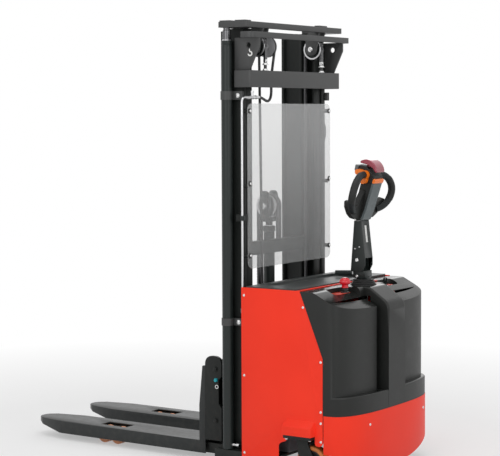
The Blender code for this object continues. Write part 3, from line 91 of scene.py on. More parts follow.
class Value:
    """A shader socket that takes part in arithmetic, adding a Math node for each operation."""

    def __init__(self, board: "Board", socket: bpy.types.NodeSocket) -> None:
        """Wrap a node's output."""
        self.board = board
        self.socket = socket

    def _math(self, operation: str, *terms: "Value | float") -> "Value":
        """Add one Math node over the given terms."""
        made = self.board.node("ShaderNodeMath", {"operation": operation}, dict(enumerate(terms)))
        return Value(self.board, made.outputs[0])

    def __add__(self, other: "Value | float") -> "Value":
        """Sum."""
        return self._math("ADD", self, other)

    __radd__ = __add__

    def __sub__(self, other: "Value | float") -> "Value":
        """Difference."""
        return self._math("SUBTRACT", self, other)

    def __rsub__(self, other: float) -> "Value":
        """Difference the other way round."""
        return self._math("SUBTRACT", other, self)

    def __mul__(self, other: "Value | float") -> "Value":
        """Product."""
        return self._math("MULTIPLY", self, other)

    __rmul__ = __mul__

    def __gt__(self, limit: float) -> "Value":
        """One where the value is above a limit."""
        return self._math("GREATER_THAN", self, limit)

    def above(self, low: float, high: float) -> "Value":
        """How far the value has come from low to high, from 0 to 1.

        Args:
            low: value that gives 0.
            high: value that gives 1.

        Returns:
            The clamped share.
        """
        made = self.board.node("ShaderNodeMapRange", {"clamp": True},
                               {"Value": self, "From Min": low, "From Max": high})
        return Value(self.board, made.outputs[0])


class Board:
    """One material's node tree, with a Principled shader at its end."""

    def __init__(self, name: str) -> None:
        """Start an empty material of that name."""
        self.material = bpy.data.materials.new(name)
        self.material.use_nodes = True
        self.tree = self.material.node_tree
        self.shader = self.tree.nodes["Principled BSDF"]
        self.place = self.tree.nodes.new("ShaderNodeTexCoord").outputs["Object"]

    def node(self, kind: str, settings: dict | None = None, inputs: dict | None = None) -> bpy.types.Node:
        """Add any node.

        Args:
            kind: Blender's type name of the node.
            settings: attributes to set first; "stops" holds a colour ramp's (position, colour) pairs.
            inputs: values or links, by socket name or number.

        Returns:
            The new node.
        """
        made = self.tree.nodes.new(kind)
        for key, value in (settings or {}).items():
            if key == "stops":
                for number, (position, colour) in enumerate(value):
                    ramp = made.color_ramp.elements
                    stop = ramp[number] if number < 2 else ramp.new(position)
                    stop.position = position
                    stop.color = colour
            else:
                setattr(made, key, value)
        for key, value in (inputs or {}).items():
            self.feed(made.inputs[key], value)
        return made

    def feed(self, socket: bpy.types.NodeSocket, value: object) -> None:
        """Link a value into a socket, or set the socket to a constant."""
        source = value.socket if isinstance(value, Value) else value
        if isinstance(source, bpy.types.NodeSocket):
            self.tree.links.new(source, socket)
        else:
            socket.default_value = source

    def noise(self, scale: float, detail: float = 3.0, stretch: Point = (1.0, 1.0, 1.0)) -> Value:
        """Noise over the piece.

        Args:
            scale: how many blotches there are in a metre.
            detail: how many finer layers are added.
            stretch: factors on X, Y and Z; a small one draws the pattern out along that axis.

        Returns:
            The noise, about 0.5 on average.
        """
        mapping = self.node("ShaderNodeMapping", None, {"Vector": self.place, "Scale": stretch})
        made = self.node("ShaderNodeTexNoise", None, {"Vector": mapping.outputs[0], "Scale": scale,
                                                      "Detail": detail, "Roughness": 0.55})
        return Value(self, made.outputs[0])

    def height(self) -> Value:
        """How high a place is above the floor."""
        made = self.node("ShaderNodeSeparateXYZ", None, {"Vector": self.place})
        return Value(self, made.outputs["Z"])

    def facing_up(self) -> Value:
        """How much a surface faces up."""
        geometry = self.node("ShaderNodeNewGeometry")
        made = self.node("ShaderNodeSeparateXYZ", None, {"Vector": geometry.outputs["Normal"]})
        return Value(self, made.outputs["Z"])

    def blend(self, share: "Value | float", first: Point | Value, second: Point | Value) -> Value:
        """A colour between two.

        Args:
            share: 0 for the first colour, 1 for the second.
            first: a linear colour or a colour socket.
            second: the same.

        Returns:
            The mixed colour.
        """
        made = self.node("ShaderNodeMix", {"data_type": "RGBA"})
        colours = [(*c, 1.0) if not isinstance(c, Value) else c for c in (first, second)]
        self.feed(made.inputs[0], share)
        self.feed(made.inputs[6], colours[0])
        self.feed(made.inputs[7], colours[1])
        return Value(self, made.outputs[2])

    def emboss(self, height: Value, depth: float, strength: float = 1.0) -> None:
        """Let a height pattern bend the surface's normal.

        Args:
            height: the pattern.
            depth: what a height of 1 stands for, in metres.
            strength: how much of it shows.
        """
        made = self.node("ShaderNodeBump", None, {"Height": height, "Distance": depth, "Strength": strength})
        self.tree.links.new(made.outputs[0], self.shader.inputs["Normal"])

    def set(self, **values: object) -> None:
        """Feed the Principled shader's sockets, with underscores for the spaces in their names."""
        for key, value in values.items():
            name = key.replace("_", " ")
            value = (*value, 1.0) if isinstance(value, tuple) and len(value) == 3 else value
            self.feed(self.shader.inputs[name], value)


def tint(colour: Point, factor: float) -> tuple[float, float, float]:
    """A colour made lighter or darker."""
    return tuple(min(1.0, part * factor) for part in colour)


@dataclass(frozen=True)
class Finish:
    """What every finish has: a name, a colour and a roughness."""

    name: str
    colour: tuple[float, float, float]
    roughness: float = 0.4

    def build(self) -> bpy.types.Material:
        """Make the material once and give the same one again after that."""
        made = bpy.data.materials.get(self.name)
        if made is None:
            board = Board(self.name)
            self.paint(board)
            board.material.diffuse_color = (*self.colour, 1.0)
            made = board.material
        return made

    def paint(self, board: Board) -> None:
        """Fill the material's node tree."""
        raise NotImplementedError


@dataclass(frozen=True)
class Paint(Finish):
    """Baked powder paint: a faint orange peel, a little dust low down and on ledges, and small rubs."""

    coat: float = 0.0
    dust: float = 0.10
    peel: float = 0.00006
    rubs: float = 0.0
    specular: float = 0.28

    def paint(self, board: Board) -> None:
        """Vary colour and roughness, and add the peel."""
        cloud = board.noise(2.4, 2.0)
        grime = board.noise(38.0, 5.0)
        colour = board.blend(cloud.above(0.35, 0.65), tint(self.colour, 0.93), tint(self.colour, 1.06))
        low_down = 1.0 - board.height().above(0.05, 0.55)
        ledge = board.facing_up().above(0.7, 1.0)
        settled = (low_down * 0.6 + ledge) * grime.above(0.45, 0.75) * self.dust
        colour = board.blend(settled, colour, (0.26, 0.23, 0.20))
        rough = cloud * 0.06 + grime * 0.08 + settled * 0.5 + (self.roughness - 0.07)
        if self.rubs > 0.0:
            streaks = board.noise(150.0, 6.0, (1.0, 0.06, 1.0)).above(0.60, 0.70)
            patches = board.noise(9.0, 3.0).above(0.50, 0.72)
            bare = streaks * patches * ledge * self.rubs
            colour = board.blend(bare, colour, (0.30, 0.30, 0.30))
            rough = rough - bare * 0.12
        board.set(Base_Color=colour, Roughness=rough, Coat_Weight=self.coat)
        board.shader.inputs["Coat Roughness"].default_value = 0.12
        board.shader.inputs["Specular IOR Level"].default_value = self.specular
        board.emboss(board.noise(520.0, 2.0) + board.noise(90.0, 2.0) * 0.8, self.peel, 0.7)


@dataclass(frozen=True)
class Moulded(Finish):
    """Moulded plastic with a fine spark grain and soft flow marks."""

    grain: float = 0.00010
    coat: float = 0.0
    sheen_spots: float = 0.06
    specular: float = 0.40
    gloss_up: float = 0.0

    def paint(self, board: Board) -> None:
        """Grain by cells, with a slow change of colour and of gloss."""
        cells = board.node("ShaderNodeTexVoronoi", {"feature": "SMOOTH_F1"},
                           {"Vector": board.place, "Scale": 900.0})
        grain = Value(board, cells.outputs[0])
        flow = board.noise(5.0, 3.0)
        handled = board.noise(24.0, 4.0).above(0.5, 0.8)
        colour = board.blend(flow.above(0.35, 0.65), tint(self.colour, 0.92), tint(self.colour, 1.08))
        colour = board.blend(handled * 0.10, colour, tint(self.colour, 1.6))
        rough = flow * 0.06 - handled * self.sheen_spots + (self.roughness - 0.01)
        if self.gloss_up > 0.0:
            rough = rough - board.facing_up().above(0.55, 0.95) * self.gloss_up
        board.set(Base_Color=colour, Roughness=rough, Coat_Weight=self.coat)
        board.shader.inputs["Coat Roughness"].default_value = 0.08
        board.shader.inputs["Specular IOR Level"].default_value = self.specular
        board.emboss(grain, self.grain, 0.6)


@dataclass(frozen=True)
class Metal(Finish):
    """Bare, plated or chromed metal with machining lines along one axis."""

    lines: tuple[float, float, float] = (1.0, 1.0, 0.05)
    spread: float = 0.10
    stain: tuple[float, float, float] = (0.25, 0.24, 0.22)
    stained: float = 0.12

    def paint(self, board: Board) -> None:
        """Lines in the roughness and the normal, and a little staining."""
        fine = board.noise(420.0, 3.0, self.lines)
        spots = board.noise(60.0, 4.0).above(0.55, 0.80) * self.stained
        colour = board.blend(fine.above(0.3, 0.7), tint(self.colour, 0.90), tint(self.colour, 1.05))
        colour = board.blend(spots, colour, self.stain)
        rough = (fine - 0.5) * self.spread + spots * 0.6 + self.roughness
        board.set(Base_Color=colour, Roughness=rough, Metallic=1.0 - spots * 0.4)
        board.emboss(fine, 0.00003, 0.5)


@dataclass(frozen=True)
class Rubbery(Finish):
    """Rubber or polyurethane: matte, mottled, and scuffed by what it rolls on."""

    scuff: tuple[float, float, float] = (0.10, 0.09, 0.08)
    scuffed: float = 0.25

    def paint(self, board: Board) -> None:
        """Mottling, scuffs and a fine bump."""
        mottle = board.noise(70.0, 4.0)
        marks = board.noise(180.0, 5.0, (1.0, 0.3, 0.3)).above(0.55, 0.75) * self.scuffed
        colour = board.blend(mottle.above(0.3, 0.7), tint(self.colour, 0.88), tint(self.colour, 1.10))
        colour = board.blend(marks, colour, self.scuff)
        board.set(Base_Color=colour, Roughness=mottle * 0.12 + (self.roughness - 0.06))
        board.emboss(board.noise(800.0, 2.0) + mottle, 0.00012, 0.6)


@dataclass(frozen=True)
class ClearSheet(Finish):
    """Clear sheet with a milky cast, faint dust, wiping marks and a painted reflection that leaves it paler
    towards its top.
    """

    cast: float = 0.28
    # bottom and top: the heights over which the painted reflection goes from dark to pale.
    bottom: float = 0.90
    top: float = 1.60

    def paint(self, board: Board) -> None:
        """Dust keeps more light on the sheet; a painted reflection darkens the sheet towards its bottom and
        leaves it paler towards its top.
        """
        dust = board.noise(160.0, 6.0).above(0.45, 0.85)
        wiped = board.noise(7.0, 4.0, (1.0, 1.0, 0.35))
        cloudy = wiped.above(0.35, 0.70)
        height = board.height().above(self.bottom, self.top)
        colour = board.blend(cloudy, tint(self.colour, 0.96), self.colour)
        # Painted reflection: the sheet is darker towards its bottom and paler towards its top.
        colour = board.blend(height, tint(self.colour, 0.62), colour)
        board.set(Base_Color=colour, Roughness=dust * 0.10 + self.roughness,
                  Alpha=dust * 0.04 + cloudy * 0.03 + self.cast)
        board.emboss(wiped, 0.0004, 0.25)


@dataclass(frozen=True)
class TintedLens(Finish):
    """Deep tinted plastic under a clear gloss, as on a pressed cap, with a painted highlight on the faces
    that look up.
    """

    # glow: the colour of the painted highlight on the upward faces.
    glow: tuple[float, float, float] = (0.55, 0.10, 0.16)

    def paint(self, board: Board) -> None:
        """A painted highlight makes it lighter where it faces up."""
        depth = board.noise(30.0, 3.0)
        # Painted highlight: the upward faces are blended towards the glow colour.
        colour = board.blend(board.facing_up().above(0.35, 1.0) * 0.55, self.colour, self.glow)
        colour = board.blend(depth * 0.15, colour, tint(self.colour, 0.7))
        board.set(Base_Color=colour, Roughness=depth * 0.08 + self.roughness, Coat_Weight=0.7)
        board.shader.inputs["Coat Roughness"].default_value = 0.06
        board.emboss(board.noise(600.0, 2.0), 0.00002, 0.4)


RED = Paint("red_paint_finish", (1.0, 0.045, 0.020), 0.42, dust=0.03, specular=0.16)
# A lighter copy of the black mast paint, as painted sheen on the straps, clamps and lugs; MAST_DARK is the
# mast's own black.
MAST_PAINTED_SHEEN = Paint("mast_painted_sheen_finish", (0.050, 0.051, 0.051), 0.46, dust=0.10, specular=0.45)
MAST_DARK = Paint("mast_dark_finish", (0.012, 0.014, 0.013), 0.42, dust=0.06, specular=0.22)
BLACK = Paint("black_paint_finish", (0.012, 0.014, 0.013), 0.40, dust=0.08, specular=0.25)
CYLINDER = Paint("cylinder_paint_finish", (0.015, 0.020, 0.019), 0.40, coat=0.05, dust=0.03, specular=0.30)
FORK = Paint("fork_paint_finish", (0.026, 0.029, 0.029), 0.38, dust=0.10, rubs=0.55)
COVER = Moulded("cover_plastic", (0.012, 0.013, 0.012), 0.42, specular=0.34, gloss_up=0.33)
TRAY = Moulded("tray_plastic", (0.040, 0.045, 0.044), 0.40, grain=0.00003, specular=0.35)
BEZEL = Moulded("bezel_plastic", (0.008, 0.008, 0.008), 0.38)
HEAD = Moulded("head_slate_plastic", (0.105, 0.125, 0.130), 0.48)
HEAD_DARK = Moulded("head_dark_plastic", (0.018, 0.019, 0.018), 0.48, specular=0.25)
GRIP = Moulded("grip_soft_plastic", (0.016, 0.019, 0.020), 0.55, grain=0.00018, specular=0.25)
BUTTON = Moulded("button_plastic", (0.13, 0.14, 0.14), 0.42)
ORANGE = Moulded("orange_plastic", (1.0, 0.20, 0.008), 0.36, grain=0.00005, coat=0.2)
STOP = Moulded("stop_plastic", (0.72, 0.008, 0.022), 0.24, grain=0.00002, coat=0.5)
STOP_PLATE = Moulded("stop_plate_plastic", (0.80, 0.060, 0.030), 0.30, grain=0.00003, coat=0.4)
LENS = TintedLens("belly_cap_plastic", (0.30, 0.012, 0.040), 0.18)
ZINC = Metal("zinc_plate", (0.62, 0.62, 0.63), 0.30)
CHROME = Metal("hard_chrome", (0.13, 0.13, 0.135), 0.26, spread=0.04, stained=0.03)
BOLT = Metal("bolt_zinc", (0.72, 0.72, 0.72), 0.26, lines=(1.0, 1.0, 1.0), stained=0.06)
CHAIN = Metal("oiled_chain_steel", (0.15, 0.15, 0.155), 0.32, stain=(0.030, 0.020, 0.012), stained=0.35)
ROLLER = Rubbery("roller_polyurethane", (0.95, 0.40, 0.21), 0.48, scuff=(0.30, 0.16, 0.09))
TREAD = Rubbery("wheel_polyurethane", (0.62, 0.20, 0.045), 0.50, scuff=(0.20, 0.10, 0.05))
HUB = Rubbery("wheel_core", (0.016, 0.016, 0.016), 0.50)
RUBBER = Rubbery("black_rubber", (0.014, 0.014, 0.014), 0.62, scuffed=0.10)
HOSE = Rubbery("hose_rubber", (0.016, 0.016, 0.017), 0.45, scuffed=0.12)
BATTERY = Moulded("battery_case", (0.10, 0.10, 0.11), 0.55)
GUARD = ClearSheet("clear_guard_sheet", (0.79, 0.80, 0.80), 0.08)
HOSE_WHEEL = Moulded("hose_wheel_plastic", (0.34, 0.34, 0.35), 0.42)
SIGN = Moulded("white_sign_ink", (0.82, 0.82, 0.80), 0.45, grain=0.00001)
TEAL = Moulded("teal_plug_plastic", (0.03, 0.42, 0.50), 0.35)


# ---- modelling ------------------------------------------------------------------------------

class Facing(Enum):
    """The plane that an outline is drawn in, as the places of its u, its v and its depth."""

    XY = (0, 1, 2)
    XZ = (0, 2, 1)
    YZ = (1, 2, 0)


class Along(Enum):
    """An axis of the frame, with the turn that lays an upright primitive along it."""

    X = (0.0, math.pi / 2, 0.0)
    Y = (-math.pi / 2, 0.0, 0.0)
    Z = (0.0, 0.0, 0.0)


def linked(name: str, data: bpy.types.ID) -> Solid:
    """A new object in the scene."""
    made = bpy.data.objects.new(name, data)
    bpy.context.scene.collection.objects.link(made)
    return made


def only(*pieces: Solid) -> None:
    """Select these objects and nothing else."""
    if bpy.context.mode != "OBJECT":
        bpy.ops.object.mode_set(mode="OBJECT")
    bpy.ops.object.select_all(action="DESELECT")
    for piece in pieces:
        piece.select_set(True)
    if pieces:
        bpy.context.view_layer.objects.active = pieces[0]


def edit(piece: Solid) -> None:
    """Open one object in edit mode with all of it selected."""
    only(piece)
    bpy.ops.object.mode_set(mode="EDIT")
    bpy.ops.mesh.select_all(action="SELECT")


def done(piece: Solid, name: str | None = None) -> Solid:
    """Leave edit mode and put the object's place into its mesh."""
    only(piece)
    bpy.ops.object.transform_apply(location=True, rotation=True, scale=True)
    if name:
        piece.name = name
        piece.data.name = name
    return piece


def outwards(piece: Solid) -> Solid:
    """Merge doubles and turn all faces outwards."""
    edit(piece)
    bpy.ops.mesh.remove_doubles(threshold=0.00001)
    bpy.ops.mesh.normals_make_consistent(inside=False)
    only(piece)
    return piece


def smooth(piece: Solid, angle: float = 34.0) -> Solid:
    """Shade round stretches smooth and keep sharper edges."""
    only(piece)
    bpy.ops.object.shade_smooth_by_angle(angle=math.radians(angle))
    return piece


def apply(piece: Solid, kind: str, **settings: object) -> Solid:
    """Add one modifier and apply it.

    Args:
        piece: the object.
        kind: Blender's type name of the modifier.
        settings: its attributes.

    Returns:
        The object.
    """
    only(piece)
    step = piece.modifiers.new(kind.lower(), kind)
    for key, value in settings.items():
        setattr(step, key, value)
    bpy.ops.object.modifier_apply(modifier=step.name)
    return piece


def eased(piece: Solid, width: float, segments: int = 2, angle: float = 30.0) -> Solid:
    """Round the edges that are sharper than an angle."""
    apply(piece, "BEVEL", width=width, segments=segments, limit_method="ANGLE",
          angle_limit=math.radians(angle), use_clamp_overlap=True)
    return smooth(piece)


def block(name: str, low: Point, high: Point, ease: float = 0.001, segments: int = 2) -> Solid:
    """A box between two corners, with eased edges.

    Args:
        name: the piece's name.
        low: its lowest corner, with Y from the guard.
        high: its highest corner.
        ease: radius of its edges.
        segments: steps across each edge.

    Returns:
        The box.
    """
    first, last = at(*low), at(*high)
    only()
    bpy.ops.mesh.primitive_cube_add(size=1.0, location=(first + last) / 2, scale=last - first)
    piece = done(bpy.context.object, name)
    return eased(piece, ease, segments) if ease else piece


def rod(name: str, start: Point, end: Point, radius: float, sides: int = 32, ease: float = 0.0) -> Solid:
    """A round bar between two places, with Y from the guard."""
    first, last = at(*start), at(*end)
    span = last - first
    only()
    bpy.ops.mesh.primitive_cylinder_add(vertices=sides, radius=radius, depth=span.length,
                                        location=(first + last) / 2,
                                        rotation=span.to_track_quat("Z", "Y").to_euler())
    piece = done(bpy.context.object, name)
    return eased(piece, ease) if ease else smooth(piece)


def trace(name: str, points: Sequence[Point]) -> Solid:
    """A chain of edges through places of the frame, drawn by extruding one vertex, left in edit mode."""
    only()
    bpy.ops.mesh.primitive_plane_add(size=0.01, location=points[0])
    piece = done(bpy.context.object, name)
    edit(piece)
    bpy.ops.mesh.merge(type="CENTER")
    for here, there in zip(points, points[1:]):
        step = Vector(there) - Vector(here)
        bpy.ops.mesh.extrude_region_move(TRANSFORM_OT_translate={"value": step})
    bpy.ops.mesh.select_all(action="SELECT")
    return piece


def slab(name: str, outline: Sequence[Point], facing: Facing, depth: tuple[float, float],
         ease: float = 0.0, segments: int = 2) -> Solid:
    """A flat outline drawn in a plane and extruded over a depth.

    Args:
        name: the piece's name.
        outline: (u, v) corners, with any Y from the guard.
        facing: the plane they lie in.
        depth: range along the remaining axis.
        ease: radius of its edges.
        segments: steps across each edge.

    Returns:
        The solid.
    """
    u_axis, v_axis, d_axis = facing.value
    low, high = min(depth), max(depth)
    points = []
    for u, v in outline:
        place = [0.0, 0.0, 0.0]
        place[u_axis], place[v_axis], place[d_axis] = u, v, low
        points.append(at(*place))
    piece = trace(name, points)
    bpy.ops.mesh.edge_face_add()
    push = [0.0, 0.0, 0.0]
    push[d_axis] = high - low
    bpy.ops.mesh.extrude_region_move(TRANSFORM_OT_translate={"value": push})
    outwards(piece)
    return eased(piece, ease, segments) if ease else smooth(piece)


def turned(name: str, profile: Sequence[Point], centre: Point, along: Along, steps: int = 48) -> Solid:
    """A closed profile of (radius, height) corners spun about an axis through a centre.

    Args:
        name: the piece's name.
        profile: corners from the inside round the outside; both ends lie on the axis or meet.
        centre: where height 0 is, with Y from the guard.
        along: the axis.
        steps: faces round it.

    Returns:
        The turned solid.
    """
    middle = at(*centre)
    turn = Matrix.LocRotScale(middle, Matrix.Identity(3), None) @ _turn(along)
    piece = trace(name, [turn @ Vector((radius, 0.0, height)) for radius, height in profile])
    axis = _turn(along) @ Vector((0.0, 0.0, 1.0))
    bpy.ops.mesh.spin(steps=steps, angle=math.tau, center=middle, axis=axis)
    bpy.ops.mesh.select_all(action="SELECT")
    return smooth(outwards(piece))


def _turn(along: Along) -> Matrix:
    """The rotation that lays +Z along an axis."""
    around_x, around_y, _ = along.value
    return Matrix.Rotation(around_y, 4, "Y") @ Matrix.Rotation(around_x, 4, "X")


def pipe(name: str, points: Sequence[Point], radius: float, sides: int = 4, smooth_run: bool = True) -> Solid:
    """A round bar or hose along a run of places, with Y from the guard, as a closed mesh."""
    curve = bpy.data.curves.new(name, "CURVE")
    curve.dimensions = "3D"
    curve.bevel_depth = radius
    curve.bevel_resolution = sides
    curve.use_fill_caps = True
    spline = curve.splines.new("NURBS" if smooth_run else "POLY")
    spline.points.add(len(points) - 1)
    for point, place in zip(spline.points, points):
        point.co = (*at(*place), 1.0)
    if smooth_run:
        spline.order_u = 4
        spline.use_endpoint_u = True
        spline.resolution_u = 6
    only(linked(name, curve))
    bpy.ops.object.convert(target="MESH")
    return smooth(outwards(bpy.context.object), 50.0)


def spent(*tools: Solid) -> None:
    """Remove cutters and other used-up objects."""
    for tool in tools:
        bpy.data.objects.remove(tool, do_unlink=True)


def weld(piece: Solid, others: Iterable[Solid], operation: str = "UNION") -> Solid:
    """Join solids to a piece, or take them out of it, and use them up."""
    for other in others:
        apply(piece, "BOOLEAN", operation=operation, solver="EXACT", object=other)
        spent(other)
    return piece


def cut(piece: Solid, *cutters: Solid) -> Solid:
    """Take other solids out of a piece."""
    return weld(piece, cutters, "DIFFERENCE")


def gather(name: str, pieces: Sequence[Solid]) -> Solid:
    """Make one object of several closed pieces."""
    only(*pieces)
    if len(pieces) > 1:
        bpy.ops.object.join()
    return done(bpy.context.object, name)


def copy_of(piece: Solid, move: Point = (0.0, 0.0, 0.0), name: str | None = None) -> Solid:
    """A copy with its own mesh, moved."""
    twin = linked(piece.name, piece.data.copy())
    twin.location = Vector(move)
    return done(twin, name or piece.name + "_copy")


def mirrored(piece: Solid, name: str) -> Solid:
    """A copy on the other side of the machine."""
    twin = linked(piece.name, piece.data.copy())
    twin.scale = (-1.0, 1.0, 1.0)
    return outwards(done(twin, name))


def leaned(piece: Solid, angle: float, pivot: Vector) -> Solid:
    """Turn a piece about an X axis through a pivot."""
    piece.matrix_world = (Matrix.Translation(pivot) @ Matrix.Rotation(angle, 4, "X")
                          @ Matrix.Translation(-pivot))
    return done(piece)


def refined(node: str, ease: float, segments: int = 2) -> Solid:
    """A copy of a construction node with flat faces made whole and edges eased."""
    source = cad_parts[node]
    piece = linked(node + "_finished", source.data.copy())
    piece.data.materials.clear()
    edit(piece)
    bpy.ops.mesh.remove_doubles(threshold=0.000005)
    bpy.ops.mesh.dissolve_limited(angle_limit=math.radians(0.6))
    only(piece)
    return eased(piece, ease, segments)


def fit(piece: Solid, finish: Finish, body: str, replaces: Sequence[str] = (),
        name: str | None = None) -> Solid:
    """Give a piece its finish and the body that it rides on.

    Args:
        piece: the finished mesh.
        finish: what covers it.
        body: name of the body that it moves with.
        replaces: construction nodes that it stands for.
        name: its name, where it still has a tool's name.

    Returns:
        The piece.
    """
    piece.name = name or piece.name
    piece.data.materials.clear()
    piece.data.materials.append(finish.build())
    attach(piece, body)
    if replaces:
        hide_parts(*replaces)
    LOG.info("%s: %d faces on %s", piece.name, len(piece.data.polygons), body)
    return piece


def finish_copy(node: str, ease: float, finish: Finish, body: str,
                name: str | None = None) -> None:
    """Replace a construction node by a refined copy of it."""
    fit(refined(node, ease), finish, body, [node], name)


def angles(start: int, stop: int, step: int) -> list[float]:
    """Angles in radians, from a range of whole degrees."""
    return [math.radians(degrees) for degrees in range(start, stop, step)]


def arc(centre: Point, radius: float, start: float, end: float, steps: int = 8) -> list[tuple[float, float]]:
    """Points on an arc, in degrees."""
    angles = [math.radians(start + (end - start) * step / steps) for step in range(steps + 1)]
    return [(centre[0] + radius * math.cos(a), centre[1] + radius * math.sin(a)) for a in angles]


def rounded(corners: Sequence[Point], steps: int = 6) -> list[tuple[float, float]]:
    """An outline with its corners rounded, from (u, v, radius) corners."""
    outline: list[tuple[float, float]] = []
    for index, (u, v, radius) in enumerate(corners):
        here = Vector((u, v))
        before = (Vector(corners[index - 1][:2]) - here).normalized()
        after = (Vector(corners[(index + 1) % len(corners)][:2]) - here).normalized()
        if radius <= 0:
            outline.append((u, v))
            continue
        half = before.angle(after) / 2
        middle = here + (before + after).normalized() * radius / math.sin(half)
        first = here + before * radius / math.tan(half) - middle
        sweep = first.angle_signed(here + after * radius / math.tan(half) - middle)
        for step in range(steps + 1):
            arm = first.copy()
            arm.rotate(Matrix.Rotation(-sweep * step / steps, 2))
            outline.append(tuple(middle + arm))
    return outline


def both_halves(half: Sequence[Point], middle: Sequence[Point] = ()) -> list[tuple[float, float]]:
    """A closed profile, from the half of it that lies at positive heights."""
    return [*half, *middle, *((radius, -height) for radius, height in reversed(half)), half[0]]


def tyre_profile(seat: Sequence[Point], radius: float, half: float, ease: float,
                 step: int) -> list[tuple[float, float]]:
    """A tyre's closed profile with rounded shoulders.

    Args:
        seat: its corners at the core.
        radius: over the tread.
        half: half of its width.
        ease: radius of its shoulders.
        step: degrees between the points of a shoulder.

    Returns:
        The profile.
    """
    shoulder = [(radius - ease + ease * math.sin(a), half - ease + ease * math.cos(a))
                for a in angles(0, 91, step)]
    return both_halves([*seat, *shoulder], [(radius, 0.0)])


def pane(low: Point, high: Point, radius: float, steps: int = 6) -> list[tuple[float, float]]:
    """A rectangle with rounded corners, between its lowest and its highest (u, v) corner."""
    (left, foot), (right, top) = low, high
    return rounded([(left, foot, radius), (right, foot, radius), (right, top, radius), (left, top, radius)],
                   steps)


def screw(place: Point, along: Along, radius: float = 0.006, height: float = 0.0035, sides: int = 20,
          way: int = 1) -> Solid:
    """A button-head screw on a surface, with a socket in its head.

    Args:
        place: the middle of its seat, with Y from the guard.
        along: the way its head points.
        radius: of the head.
        height: of the head.
        sides: faces round it; 6 makes a hexagon head.
        way: 1 to point along the axis, -1 against it.

    Returns:
        The screw's head.
    """
    sunk = height * 0.45
    socket = radius * 0.42
    profile = [(0.0, sunk), (socket, sunk), (socket, height), (radius * 0.72, height),
               (radius, height * 0.55),
               (radius, 0.0), (0.0, 0.0)]
    return turned("screw", [(r, h * way) for r, h in profile], place, along, sides)


def hexagon(place: Point, along: Along, radius: float, height: float, way: int = 1) -> Solid:
    """A hexagon bolt head on a washer."""
    profile = [(0.0, height), (radius * 0.80, height), (radius, height * 0.86), (radius, height * 0.20),
               (0.0, height * 0.20)]
    head = turned("bolt", [(r, h * way) for r, h in profile], place, along, 6)
    washer = [(0.0, height * 0.22), (radius * 1.32, height * 0.22), (radius * 1.38, 0.0), (0.0, 0.0)]
    return gather("bolt", [head, turned("washer", [(r, h * way) for r, h in washer], place, along, 24)])


# ---- studio ---------------------------------------------------------------------------------

